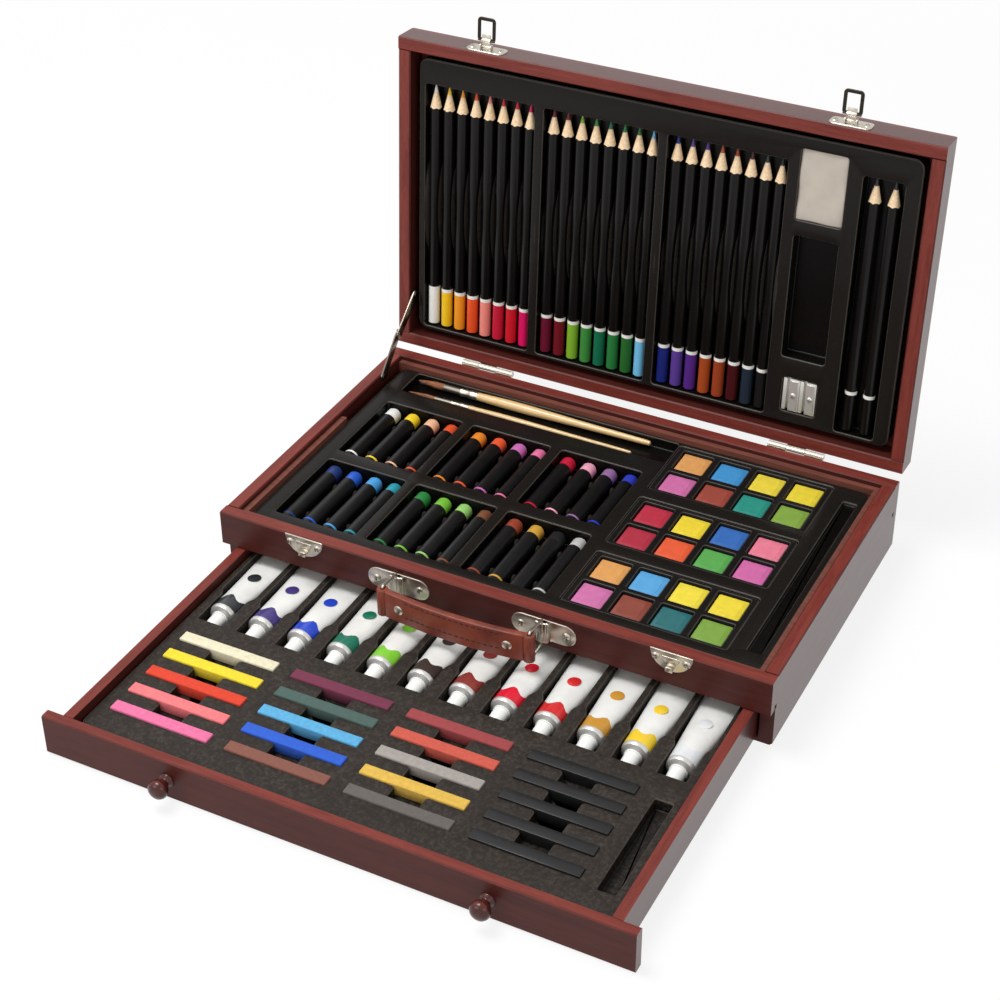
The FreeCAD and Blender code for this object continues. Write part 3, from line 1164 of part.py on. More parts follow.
doc.recompute()
faults = [item.Name for item in doc.Objects if {"Invalid", "Error"} & set(item.State)]
for name, item in nodes.items():
    shape = item.Shape
    if shape.isNull() or not shape.isValid() or not shape.Solids:
        faults.append(name)
if faults:
    raise RuntimeError("not built: " + ", ".join(faults))

os.makedirs("parts", exist_ok=True)
for name, item in nodes.items():
    item.Shape.exportStep(f"parts/{name}.step")
print(len(nodes), "sub-parts,", sum(len(item.Shape.Solids) for item in nodes.values()), "solids")
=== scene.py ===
import json
import math

import bmesh
import bpy
from mathutils import Matrix, Vector


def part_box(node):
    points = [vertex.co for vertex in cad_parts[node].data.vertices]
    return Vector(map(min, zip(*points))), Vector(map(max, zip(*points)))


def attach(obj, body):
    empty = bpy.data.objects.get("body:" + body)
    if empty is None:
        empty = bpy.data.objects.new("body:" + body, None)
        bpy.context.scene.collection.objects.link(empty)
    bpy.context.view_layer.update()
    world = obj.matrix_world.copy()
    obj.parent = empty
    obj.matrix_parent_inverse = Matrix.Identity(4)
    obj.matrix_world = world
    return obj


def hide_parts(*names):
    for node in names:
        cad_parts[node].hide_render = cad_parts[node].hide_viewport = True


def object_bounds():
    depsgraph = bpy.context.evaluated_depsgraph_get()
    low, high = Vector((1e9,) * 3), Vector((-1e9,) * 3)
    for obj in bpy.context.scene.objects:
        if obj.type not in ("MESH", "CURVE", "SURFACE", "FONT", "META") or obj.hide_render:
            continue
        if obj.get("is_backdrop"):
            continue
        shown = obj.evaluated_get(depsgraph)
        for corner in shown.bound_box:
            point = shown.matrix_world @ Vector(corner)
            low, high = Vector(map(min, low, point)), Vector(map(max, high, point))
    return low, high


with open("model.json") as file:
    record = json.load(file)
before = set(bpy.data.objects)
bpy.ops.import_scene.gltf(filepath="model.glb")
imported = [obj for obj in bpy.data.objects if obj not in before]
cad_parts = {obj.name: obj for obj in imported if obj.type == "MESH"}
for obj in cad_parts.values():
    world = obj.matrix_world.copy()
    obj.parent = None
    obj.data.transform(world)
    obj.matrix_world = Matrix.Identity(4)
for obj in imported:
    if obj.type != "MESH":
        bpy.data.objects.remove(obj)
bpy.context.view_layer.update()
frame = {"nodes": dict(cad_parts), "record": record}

mm = 0.001

# each piece is drawn in millimetres, in the frame of the body that carries it
joints = {joint["name"]: joint for joint in frame["record"]["behaviour"]["joints"]}
hingePin = Vector(joints["lid_hinge"]["pos_m"])
lidTilt = math.radians(180 + joints["lid_hinge"]["range_deg"][0])
lidLean = lidTilt - math.pi / 2
drawerTravel = -joints["drawer_slide"]["range_m"][0] / mm
millimetres = Matrix.Scale(mm, 4)
lidPlace = Matrix.Translation(hingePin) @ Matrix.Rotation(lidTilt, 4, "X") @ millimetres
drawerPlace = Matrix.Translation((0, -drawerTravel * mm, 0)) @ millimetres
places = {"lid": lidPlace, "lever": lidPlace, "bail": lidPlace, "drawer": drawerPlace}


def span(node):
    # a node's lowest and highest corners in millimetres
    low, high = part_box(node)
    return low / mm, high / mm


case = {"wall": 9.0, "lidDepth": 19.6, "lidPanel": 3.0}
caseLeft, caseFront = span("upper_front_rail")[0][:2]
caseBack, rimZ = span("upper_back_rail")[1].y, span("upper_side_rails")[1].z
lidRim = rimZ - hingePin.z / mm  # the lid's rim plane and walls, in its own frame
lidBack = hingePin.y / mm - caseBack
lidFront = lidBack + caseBack - caseFront
lidFloor = lidRim - case["lidDepth"] + case["lidPanel"]


def tint(red, green, blue):
    # an 8 bit screen colour as scene-linear numbers
    def linear(value):
        value /= 255
        return value / 12.92 if value < 0.04045 else ((value + 0.055) / 1.055) ** 2.4
    return (linear(red), linear(green), linear(blue), 1.0)


def tints(*colours):
    return [tint(*colour) for colour in colours]


def grey(level):
    return (level, level, level, 1.0)


def addNode(tree, kind, inputs=(), **settings):
    # a node, its settings, and its inputs: plain values or other nodes' outputs
    node = tree.nodes.new(kind)
    for key, value in settings.items():
        setattr(node, key, value)
    for key, value in dict(inputs).items():
        if isinstance(value, bpy.types.NodeSocket):
            tree.links.new(value, node.inputs[key])
        else:
            node.inputs[key].default_value = value
    return node


class Shader:
    # one material and the few nodes that all of them share

    def __init__(self, name, colour, roughness=0.5, **settings):
        self.material = bpy.data.materials.new(name)
        self.material.use_nodes = True
        self.material.diffuse_color = colour
        self.tree = self.material.node_tree
        self.surface = self.tree.nodes["Principled BSDF"]
        for key, value in {"Base_Color": colour, "Roughness": roughness, **settings}.items():
            self.surface.inputs[key.replace("_", " ")].default_value = value

    def add(self, kind, inputs=(), **settings):
        return addNode(self.tree, kind, inputs, **settings)

    def drive(self, name, socket):
        self.tree.links.new(socket, self.surface.inputs[name])

    def coords(self, scale=(1, 1, 1), turn=(0, 0, 0)):
        # the piece's own metres, stretched and turned
        own = self.add("ShaderNodeTexCoord").outputs["Object"]
        return self.add("ShaderNodeMapping", {"Vector": own, "Scale": scale, "Rotation": turn}).outputs["Vector"]

    def noise(self, vector, scale, detail=3.0, roughness=0.55, distortion=0.0):
        return self.add("ShaderNodeTexNoise", {"Vector": vector, "Scale": scale, "Detail": detail,
                                               "Roughness": roughness, "Distortion": distortion}).outputs["Fac"]

    def ramp(self, factor, *stops):
        # stops are (position, colour)
        node = self.add("ShaderNodeValToRGB", {"Fac": factor})
        elements = node.color_ramp.elements
        while len(elements) < len(stops):
            elements.new(0.5)
        for element, (position, colour) in zip(elements, stops):
            element.position = position
            element.color = colour
        return node.outputs["Color"]

    def mix(self, factor, first, second, blend="MIX"):
        return self.add("ShaderNodeMix", {0: factor, 6: first, 7: second}, data_type="RGBA",
                        blend_type=blend).outputs[2]

    def rough(self, value, low, high):
        # a 0 to 1 value, spread between two roughnesses
        levels = self.add("ShaderNodeMapRange", {"Value": value, "To Min": low, "To Max": high})
        self.drive("Roughness", levels.outputs["Result"])

    def bump(self, height, strength=0.3, distance=0.0003):
        node = self.add("ShaderNodeBump", {"Height": height, "Strength": strength, "Distance": distance})
        normal = self.surface.inputs["Normal"]
        if normal.is_linked:
            self.tree.links.new(normal.links[0].from_socket, node.inputs["Normal"])
        self.drive("Normal", node.outputs["Normal"])

    def paint(self):
        # the colour stored on each face of a set of pieces
        return self.add("ShaderNodeVertexColor", layer_name="paint").outputs["Color"]


def stretched(along, across, length):
    # pattern scales that draw a grain out along one axis
    return [length if axis == along else across for axis in "XYZ"]


white, black = tint(236, 234, 228), tint(14, 12, 11)
# the rim tone is the stain painted lighter: painted light where the light falls on the rims
stain, rimStainWithPaintedLight, panelStain = tints((73, 31, 26), (118, 51, 43), (92, 38, 32))
lidMouth = (0, -math.cos(lidLean), -math.sin(lidLean))


def lacqueredWood(name, along, face, rim, rimNormal=(0, 0, 1), roughness=0.38, tilt=0.0, coat=0.0):
    # long streaks and fine pores along the grain; faces are stained dark, and the rims, the faces that point along
    # rimNormal, are painted lighter as painted light
    made = Shader(name, face, roughness, Coat_Roughness=0.2, Specular_IOR_Level=0.2)
    stretch = stretched(along, 26, 1.6)
    streaks = made.noise(made.coords(stretch, (tilt, 0, 0)), 9.0, 6.0, 0.6, 0.8)
    pores = made.noise(made.coords([5 * scale for scale in stretch], (tilt, 0, 0)), 14.0, 4.0, 0.6)
    normal = made.add("ShaderNodeTexCoord").outputs["Normal"]
    facing = made.add("ShaderNodeVectorMath", {0: normal, 1: rimNormal}, operation="DOT_PRODUCT")
    # faces that point along rimNormal take the rim tone, painted light
    paintedLightOnRim = made.ramp(facing.outputs["Value"], (0.6, grey(0)), (0.9, grey(1)))
    shade = made.ramp(streaks, (0.28, (0.72, 0.66, 0.66, 1)), (0.5, grey(1)), (0.74, (1.22, 1.3, 1.3, 1)))
    dots = made.ramp(pores, (0.4, (0.62, 0.55, 0.55, 1)), (0.6, grey(1)))
    body = made.mix(1.0, made.mix(paintedLightOnRim, face, rim), shade, "MULTIPLY")
    made.drive("Base Color", made.mix(0.45, body, dots, "MULTIPLY"))
    made.rough(streaks, roughness - 0.04, roughness + 0.1)
    made.bump(pores, 0.12, 0.0002)
    # the lacquer shines where it is seen along the board
    slant = made.add("ShaderNodeLayerWeight", {"Blend": 0.5}).outputs["Facing"]
    made.drive("Coat Weight", made.ramp(slant, (0.46, grey(coat)), (0.66, grey(0.5))))
    return made.material


def fibres(name, base, roughness, stretch, grain, dark, light, strength, distance):
    # bare wood or hair: two shades in long fine fibres
    made = Shader(name, base, roughness)
    threads = made.noise(made.coords(stretch), *grain)
    made.drive("Base Color", made.ramp(threads, dark, light))
    made.bump(threads, strength, distance)
    return made.material


def bareWood(name, base, dark):
    return fibres(name, base, 0.75, stretched("X", 30, 2), (16.0, 6.0, 0.65, 0.4), (0.3, dark), (0.7, base),
                  0.3, 0.0003)


def formedPlastic(name, dust, gloss, dustAmount, haze):
    # thin black sheet drawn over a mould: soft waviness, scuffs and settled dust over the stored colours, which carry
    # painted shade and painted highlights
    made = Shader(name, black, gloss, Specular_IOR_Level=0.14)
    vector = made.coords()
    waves, clouds = made.noise(vector, 22.0, 2.0, 0.4), made.noise(vector, 30.0, 5.0, 0.6)
    specks = made.ramp(made.noise(vector, 420.0, 4.0, 0.7), (0.45, grey(0)), (0.75, grey(1)))
    dusty = made.mix(clouds, grey(0), specks)
    share = made.add("ShaderNodeMath", {0: dusty, 1: dustAmount}, operation="MULTIPLY").outputs[0]
    made.drive("Base Color", made.mix(share, made.paint(), dust))
    made.rough(clouds, gloss, gloss + haze)
    made.bump(waves, 0.25, 0.001)
    return made.material


def platedMetal(name, base, roughness, scale=300.0, metallic=1.0):
    made = Shader(name, base, roughness, Metallic=metallic)
    smudge = made.noise(made.coords(), 90.0, 4.0, 0.6)
    scratch = made.noise(made.coords((1, 14, 3), (0.4, 0.2, 0.7)), scale, 3.0, 0.6)
    made.rough(smudge, roughness, roughness + 0.12)
    made.drive("Base Color", made.mix(smudge, base, [0.72 * value for value in base[:3]] + [1]))
    made.bump(scratch, 0.06, 0.0001)
    return made.material


def paintedSet(name, roughness, grain, strength, spread=0.12, coat=0.0, specular=0.5):
    # a set of like pieces, each in its own stored colour, a little uneven
    made = Shader(name, grey(0.5), roughness, Coat_Weight=coat, Specular_IOR_Level=specular)
    mottle = made.noise(made.coords(), grain, 5.0, 0.6)
    shade = made.ramp(mottle, (0.3, grey(1 - spread)), (0.7, grey(1)))
    made.drive("Base Color", made.mix(1.0, made.paint(), shade, "MULTIPLY"))
    made.rough(mottle, roughness - 0.06, min(roughness + 0.1, 1))
    made.bump(mottle, strength, 0.0003)
    return made.material


def stitchedLeather(name):
    made = Shader(name, tint(112, 50, 36), 0.42, Coat_Weight=0.08, Specular_IOR_Level=0.3)
    vector = made.coords()
    cells = made.add("ShaderNodeTexVoronoi", {"Vector": vector, "Scale": 900.0}, feature="DISTANCE_TO_EDGE")
    patches = made.noise(vector, 45.0, 5.0, 0.6)
    made.drive("Base Color", made.ramp(patches, (0.3, tint(88, 36, 26)), (0.7, tint(138, 66, 48))))
    made.rough(patches, 0.34, 0.55)
    made.bump(cells.outputs["Distance"], 0.35, 0.0002)
    return made.material


def dimpledEnamel(name):
    # the tubes' enamel over soft metal: broad dents and small creases, the dents painted darker as painted shade in
    # their hollows
    made = Shader(name, tint(232, 232, 228), 0.3, Coat_Weight=0.3)
    dents = made.noise(made.coords(), 70.0, 2.0, 0.5)
    creases = made.noise(made.coords(stretched("Y", 60, 14)), 4.0, 3.0, 0.6)
    # darker where the dents sink: painted shade
    shade = made.ramp(dents, (0.2, grey(0.86)), (0.6, grey(1)))
    made.drive("Base Color", made.mix(1.0, made.paint(), shade, "MULTIPLY"))
    made.rough(dents, 0.26, 0.4)
    made.bump(dents, 0.5, 0.0016)
    made.bump(creases, 0.3, 0.0006)
    return made.material


finish = {
    # the rims of the case and the lid take painted light on the faces that point along each rimNormal
    "redAcross": lacqueredWood("red wood across", "X", stain, rimStainWithPaintedLight),
    "redDeep": lacqueredWood("red wood back to front", "Y", stain, rimStainWithPaintedLight),
    "lidAcross": lacqueredWood("lid wood across", "X", stain, rimStainWithPaintedLight, lidMouth),
    "redUp": lacqueredWood("red wood up the lid", "Z", stain, rimStainWithPaintedLight, lidMouth, tilt=lidLean),
    "lidPanel": lacqueredWood("red wood panel", "X", panelStain, panelStain),
    # the knob's upward faces take the lighter tone, painted light from above
    "knob": lacqueredWood("knob wood", "Y", tint(66, 24, 19), tint(84, 30, 24), roughness=0.2, coat=0.4),
    "lining": bareWood("lining wood", tint(118, 62, 46), tint(84, 40, 30)),
    "board": bareWood("board wood", tint(150, 108, 72), tint(112, 76, 48)),
    "trayBlack": formedPlastic("black tray", tint(84, 80, 76), 0.2, 0.05, 0.14),
    "trayGrey": formedPlastic("dusty tray", tint(128, 118, 108), 0.34, 0.34, 0.22),
    "nickel": platedMetal("nickel", tint(208, 200, 186), 0.24),
    "wire": platedMetal("dark wire", tint(58, 53, 47), 0.26),
    "stay": platedMetal("stay steel", tint(132, 124, 114), 0.22),
    "steel": platedMetal("steel", tint(214, 212, 208), 0.28, metallic=0.6),
    "aluminium": platedMetal("aluminium", tint(236, 234, 228), 0.36, scale=500.0, metallic=0.55),
    "leather": stitchedLeather("stitched leather"),
    "thread": paintedSet("thread", 0.8, 1500.0, 0.4),
    "enamel": dimpledEnamel("white enamel"),
    "cap": paintedSet("cap plastic", 0.35, 60.0, 0.1, 0.05),
    "lacquer": paintedSet("pencil lacquer", 0.22, 60.0, 0.05, 0.06, 0.0, 0.2),
    "pencilWood": fibres("cedar", tint(236, 208, 170), 0.6, stretched("Y", 160, 12), (5.0, 4.0, 0.6),
                         (0.35, tint(224, 188, 146)), (0.65, tint(244, 220, 184)), 0.25, 0.0002),
    "lead": paintedSet("coloured lead", 0.5, 700.0, 0.3),
    "wax": paintedSet("oil pastel wax", 0.42, 160.0, 0.35, 0.12),
    # the black of the paper wrappers, also used for the screws' slots as a painted shadow
    "wrapper": paintedSet("paper wrapper and slot shadow", 0.36, 130.0, 0.2, 0.2, 0.0, 0.3),
    "pressed": paintedSet("pressed colour", 0.5, 240.0, 0.5, 0.14),
    "chalk": paintedSet("chalk", 0.92, 380.0, 0.6, 0.2),
    "graphite": paintedSet("graphite", 0.34, 220.0, 0.3, 0.25, 0.0, 0.3),
    "rubber": paintedSet("putty rubber", 0.85, 90.0, 0.35, 0.12),
    "hair": fibres("brush hair", tint(120, 70, 40), 0.6, stretched("X", 90, 3), (25.0, 3.0, 0.6),
                   (0.35, tint(60, 30, 18)), (0.65, tint(170, 105, 60)), 0.6, 0.0004),
    "handle": paintedSet("brush lacquer", 0.3, 120.0, 0.05, 0.12, 0.4),
}
print("materials ready:", len(finish))


def newMesh():
    bm = bmesh.new()
    bm.loops.layers.float_color.new("paint")
    return bm


def mark(bm, colour, material=0, faces=None):
    # stores a colour and a material number on faces
    layer = bm.loops.layers.float_color["paint"]
    for face in bm.faces if faces is None else faces:
        face.material_index = material
        for loop in face.loops:
            loop[layer] = colour


def join(bm, part, place=None, colour=white, material=0):
    # moves and colours a finished shape, and adds it to the piece
    if place:
        bmesh.ops.transform(part, matrix=place, verts=part.verts)
    if colour:
        mark(part, colour, material)
    mesh = bpy.data.meshes.new("part")
    part.to_mesh(mesh)
    part.free()
    bm.from_mesh(mesh)
    bpy.data.meshes.remove(mesh)


def at(centre, facing="Z", turn=0.0):
    # the place of a shape drawn round Z: its centre, where its Z points, and its turn on that axis
    angle, axis = {"Z": (0, "X"), "X": (90, "Y"), "Y": (-90, "X"), "-Y": (90, "X")}[facing]
    return Matrix.Translation(centre) @ Matrix.Rotation(math.radians(angle), 4, axis) @ Matrix.Rotation(turn, 4, "Z")


def lathe(bm, profile, place=None, steps=24, colour=white, material=0):
    # spins (radius, height) points about Z
    part = newMesh()
    verts = [part.verts.new((radius, 0, height)) for radius, height in profile]
    edges = [part.edges.new(pair) for pair in zip(verts, verts[1:])]
    bmesh.ops.spin(part, geom=verts + edges, cent=(0, 0, 0), axis=(0, 0, 1), angle=2 * math.pi,
                   steps=steps, use_merge=True)
    bmesh.ops.remove_doubles(part, verts=part.verts[:], dist=0.001)
    join(bm, part, place, colour, material)


def roundedBox(bm, low, high, bevel=0.5, segments=2, colour=white, material=0, place=None):
    part = newMesh()
    bmesh.ops.create_cube(part, size=1)
    size = Vector(high) - Vector(low)
    middle = (Vector(high) + Vector(low)) / 2
    bmesh.ops.transform(part, matrix=Matrix.Translation(middle) @ Matrix.Diagonal((*size, 1)), verts=part.verts)
    bmesh.ops.bevel(part, geom=part.edges[:], offset=min(bevel, 0.45 * min(size)), offset_type="OFFSET",
                    segments=segments, profile=0.5, affect="EDGES", material=-1)
    join(bm, part, place, colour, material)


def roundCorners(bm, verts, corner, segments):
    # rounds the corners of a face that stands alone, and returns it facing up
    others = {face for face in bm.faces if face.verts[0] not in verts}
    bmesh.ops.bevel(bm, geom=verts, offset=corner, offset_type="OFFSET", segments=segments, profile=0.5,
                    affect="VERTICES", material=-1)
    face = next(face for face in bm.faces if face not in others)
    face.normal_update()
    if face.normal.z < 0:
        face.normal_flip()
    return face


def roundFace(bm, middle, width, depth, corner, z=0.0, segments=5):
    made = bmesh.ops.create_grid(bm, x_segments=1, y_segments=1, size=0.5)
    place = Matrix.Translation((*middle, z)) @ Matrix.Diagonal((width, depth, 1, 1))
    bmesh.ops.transform(bm, matrix=place, verts=made["verts"])
    return roundCorners(bm, made["verts"], corner, segments)


def pocketFace(x, y, width, depth, corner=3.0, segments=5):
    # a pocket's mouth, made at the height of its sheet
    return lambda bm, z: roundFace(bm, (x, y), width, depth, corner, z, segments)


def outlineFace(points, corner):
    # the same for any outline
    def make(bm, z):
        verts = [bm.verts.new((*point, z)) for point in points]
        bm.faces.new(verts)
        return roundCorners(bm, verts, corner, 3)
    return make


upright = 0.0001  # the least step inwards, for a wall that stands straight


def sink(bm, face, steps):
    # presses a face in by (inwards, down) steps
    for inwards, down in steps:
        bmesh.ops.inset_region(bm, faces=[face], thickness=inwards, depth=-down, use_even_offset=True,
                               use_boundary=True)


def pressedPlate(bm, size, corner, segments, steps, place, colour=white):
    # a thin plate with rounded corners, its upper edge eased in steps
    part = newMesh()
    sink(part, roundFace(part, (0, 0), *size, corner, 0, segments), steps)
    join(bm, part, place, colour)


def pocketSheet(bm, outer, walls, top, pockets):
    # raises walls from a face, and presses pockets (face maker, steps) into what closes them
    sink(bm, outer, walls)
    rims = list(outer.edges)
    bmesh.ops.delete(bm, geom=[outer], context="FACES_ONLY")
    faces = [(makeFace(bm, top), steps) for makeFace, steps in pockets]
    rims += [edge for face, steps in faces for edge in face.edges]
    bmesh.ops.triangle_fill(bm, use_beauty=True, use_dissolve=False, edges=rims, normal=(0, 0, 1))
    for face, steps in faces:
        sink(bm, face, steps)


def markHigh(bm, above, flat, rounded):
    # tones for the faces above a height, painted lighter than the painted shade below: the level ones, and painted
    # highlights on the rounded rims between them
    bm.normal_update()
    high = [face for face in bm.faces if face.calc_center_median().z > above]
    mark(bm, rounded, faces=high)
    mark(bm, flat, faces=[face for face in high if abs(face.normal.z) > 0.96])


def spread(middle, pitch, count):
    # evenly spaced places about a middle
    return [middle + (n - (count - 1) / 2) * pitch for n in range(count)]


def finishPiece(name, bm, materials, body, node, smooth=38):
    # seams are joined and open rims closed, so that each shell is whole
    bmesh.ops.remove_doubles(bm, verts=bm.verts[:], dist=0.002)
    bmesh.ops.holes_fill(bm, edges=[edge for edge in bm.edges if edge.is_boundary], sides=0)
    bmesh.ops.recalc_face_normals(bm, faces=bm.faces)
    mesh = bpy.data.meshes.new(name)
    bm.to_mesh(mesh)
    bm.free()
    mesh.transform(places.get(body.split("_")[0], millimetres))
    for material in materials:
        mesh.materials.append(finish[material])
    mesh.shade_smooth()
    mesh.set_sharp_from_angle(angle=math.radians(smooth))
    piece = bpy.data.objects.new(name, mesh)
    bpy.context.scene.collection.objects.link(piece)
    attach(piece, body)
    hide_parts(node)


# the CAD's boards, leaves and pins keep their shapes and get their own finishes
dressed = {
    "redAcross": ["upper_front_rail", "upper_back_rail", "housing_back", "drawer_front", "drawer_back",
                  "bottom_panel"],
    "lidAcross": ["lid_front_rail", "lid_back_rail"],
    "redDeep": ["upper_side_rails", "housing_sides", "drawer_sides"],
    "redUp": ["lid_side_rails"],
    "lidPanel": ["lid_panel"],
    "lining": ["tray_lining"],
    "board": ["deck_panel", "drawer_bottom"],
    "nickel": ["base_hinge_leaves", "lid_hinge_leaves"],
    "steel": ["hinge_pins", "knob_screws"],
    "wire": ["stay_foot_pin", "stay_head_pin"],
}
for name, nodeNames in dressed.items():
    for nodeName in nodeNames:
        mesh = frame["nodes"][nodeName].data
        mesh.materials.clear()
        mesh.materials.append(finish[name])
print("boards dressed")

formed = {"corner": 7, "lip": 1.6, "rim": 0.9, "foot": 0.72, "draft": 0.5, "skin": 1.0, "size": (348.4, 200.4)}
# tones of the flange, the wells, the ribs between pieces and the rounded rims; the wells are painted shade, the ribs
# and rounded rims painted highlights
blackTrayPaintedLight = tints((26, 23, 21), (8, 7, 6), (46, 42, 39), (70, 65, 59))
dustyTrayPaintedLight = tints((40, 35, 31), (22, 19, 17), (40, 35, 31), (74, 67, 60))


def quarterRound(radius, count):
    # (inwards, down) steps over a rounded rim, level at first and steep at last
    angles = [math.pi / 2 * n / count for n in range(count + 1)]
    return [(radius * (math.sin(b) - math.sin(a)), radius * (math.cos(a) - math.cos(b)))
            for a, b in zip(angles, angles[1:])]


def ridge(bm, x, y, length, floor, height, width, colour):
    # a rib between two pieces: lens-shaped from above, crowned along its length
    part = newMesh()
    bmesh.ops.create_uvsphere(part, u_segments=14, v_segments=16, radius=1)
    shape = Matrix.Diagonal((width / 2, length / 2, height, 1)) @ Matrix.Rotation(math.pi / 2, 4, "X")
    bmesh.ops.transform(part, matrix=Matrix.Translation((x, y, floor)) @ shape, verts=part.verts)
    bmesh.ops.bisect_plane(part, geom=[*part.verts, *part.edges, *part.faces], plane_co=(0, 0, floor - 0.3),
                           plane_no=(0, 0, -1), clear_outer=True)
    join(bm, part, colour=colour)


def formedTray(name, body, material, sheet, pockets, node, tones, ridges=()):
    # sheet: middle, size, top and bottom; pockets: (face maker, depth); ridges: (x, y, length, height, width)
    middle, size, top, bottom = sheet
    flange, well, litCrown, edge = tones
    lip = [(down, -inwards) for inwards, down in quarterRound(formed["lip"], 4)]
    rim = quarterRound(formed["rim"], 3)
    foot = [(down, inwards) for inwards, down in reversed(quarterRound(formed["foot"], 3))]
    bm = newMesh()
    outer = roundFace(bm, middle, *size, formed["corner"], bottom, 7)
    pocketSheet(bm, outer, [(upright, bottom + formed["lip"] - top)] + lip, top,
                [(makeFace, rim + [(formed["draft"], depth - formed["rim"] - formed["foot"])] + foot)
                 for makeFace, depth in pockets])
    # the wells and all below the flange are painted darker, painted shade; the high faces and ribs are painted lighter,
    # painted highlights
    mark(bm, well)
    markHigh(bm, top - 0.8, flange, edge)
    for x, y, length, height, width in ridges:
        ridge(bm, x, y, length, bottom + formed["skin"], height, width, litCrown)
    finishPiece(name, bm, [material], body, node)


pencils = {
    "radius": 4.0, "length": 178.0, "point": 16.6, "lead": 5.8, "leadRadius": 1.4, "start": 17.0,
    "pitch": 10.15, "perGroup": 8, "groups": [-129.0, -41.0, 47.0], "graphite": [144.0, 156.4], "rise": 5.4,
    "endLength": 26.5, "ringLength": 2.5, "bevel": 0.5, "wave": 0.4, "leadTip": 0.35,
    "ends": tints((238, 236, 230), (244, 196, 34), (240, 150, 36), (232, 84, 38), (240, 140, 128), (198, 30, 58),
                  (206, 28, 44), (222, 24, 96), (104, 22, 46), (112, 22, 34), (128, 176, 48), (62, 138, 62),
                  (22, 108, 76), (40, 122, 62), (40, 104, 44), (116, 192, 232), (28, 40, 118), (90, 62, 146),
                  (84, 40, 132), (168, 74, 32), (156, 66, 34), (70, 16, 22), (34, 44, 58), (22, 22, 24)),
}
# pockets are (width, depth), in the column (y from the lid's back, width, depth); a rib and a wall between pencils
# are (y from the lid's back, length, rise over the pocket's depth), walls stand at (x, width)
lidTray = {
    "drop": 5.0, "pocket": (83.2, 182), "graphiteX": 150.2, "graphitePocket": (29, 182), "columnX": 111.0,
    "column": [(181.5, 32.6, 49.6), (104, 31.6, 88), (34, 26, 27)], "rib": (106.5, 69, -0.6), "ribWidth": 2.3,
    "wall": (105, 78, 0.25), "walls": [(-170.4, 7.2), (-85.0, 9.4), (3.0, 9.4), (88.6, 8.4)],
}
lidTrayTop = lidRim - lidTray["drop"]
pocketFloor = lidFloor + formed["skin"]
pocketDepth = lidTrayTop - pocketFloor
pencilBack = lidBack + pencils["start"]
pencilMiddle = pencilBack + pencils["length"] / 2
pencilZ = lidFloor + pencils["rise"]
columnX = lidTray["columnX"]
lidPockets = [(pocketFace(x, pencilMiddle, *lidTray["pocket"]), pocketDepth) for x in pencils["groups"]]
lidPockets.append((pocketFace(lidTray["graphiteX"], pencilMiddle, *lidTray["graphitePocket"]), pocketDepth))
lidPockets += [(pocketFace(columnX, lidBack + y, width, depth), pocketDepth) for y, width, depth in lidTray["column"]]
ribs = [(x, lidTray["ribWidth"]) for group in pencils["groups"]
        for x in spread(group, pencils["pitch"], pencils["perGroup"] - 1)]
lidRidges = [(x, lidBack + y, length, pocketDepth + rise, width)
             for line, (y, length, rise) in ((ribs, lidTray["rib"]), (lidTray["walls"], lidTray["wall"]))
             for x, width in line]
formedTray("lid_tray_sheet", "lid", "trayBlack", ((0, (lidBack + lidFront) / 2), formed["size"], lidTrayTop, lidFloor),
           lidPockets, "lid_tray", blackTrayPaintedLight, lidRidges)

oils = {
    "radius": 5.5, "length": 66.0, "pitch": 15.2, "perGroup": 4, "groups": [-132.8, -65.8, 1.2],
    "rows": [23.0, -55.5], "tip": 11.0, "band": 4.0, "ring": 1.6, "paper": 0.35, "rise": 0.3,
    "wrapper": tint(15, 14, 14),
    "colours": tints((240, 240, 236), (246, 214, 44), (246, 190, 150), (232, 84, 42), (240, 140, 44), (236, 90, 50),
                     (206, 112, 184), (238, 120, 166), (200, 24, 58), (244, 168, 192), (150, 108, 160), (46, 60, 190),
                     (30, 52, 110), (40, 92, 196), (74, 158, 220), (40, 150, 168), (40, 128, 62), (120, 190, 60),
                     (150, 206, 110), (120, 74, 48), (152, 66, 44), (206, 156, 60), (24, 24, 26), (196, 194, 192)),
}
palettes = {
    "x": 95.0, "rows": [69.0, 3.5, -62.0], "size": (109.0, 54.5), "height": 7.0, "corner": 2.5,
    "pitch": 26.2, "rowPitch": 26.6, "well": (22.4, 23.6), "pan": (19.8, 21.0), "panel": (14.3, 15.5),
    "panHeight": 3.5,
    "colours": [
        tints((216, 154, 88), (60, 142, 200), (228, 206, 60), (226, 204, 52),
              (200, 106, 160), (150, 66, 52), (34, 140, 124), (126, 160, 62)),
        tints((178, 40, 62), (232, 206, 50), (48, 102, 176), (224, 120, 142),
              (168, 40, 60), (222, 88, 50), (84, 160, 76), (200, 100, 158)),
        tints((214, 152, 84), (84, 158, 210), (230, 210, 60), (228, 206, 54),
              (198, 108, 160), (132, 62, 48), (34, 100, 104), (118, 154, 60)),
    ],
}
baseTray = {"oilPocket": (60.8, 69), "brushPocket": (-61, 85.6, 202, 26.6), "brushDepth": 7.6,
            "palettePocket": (111, 56.5), "sidePocket": (164.5, 0, 11, 170, 2.0), "sideDepth": 2.4,
            "nubShift": 17, "nub": (6.4, 6.5, 4.4)}
deckTop = span("deck_panel")[1].z
baseTrayTop = span("base_tray")[1].z
basePockets = [(pocketFace(x, y, *baseTray["oilPocket"]), baseTrayTop - deckTop - formed["skin"])
               for x in oils["groups"] for y in oils["rows"]]
basePockets.append((pocketFace(*baseTray["brushPocket"]), baseTray["brushDepth"]))
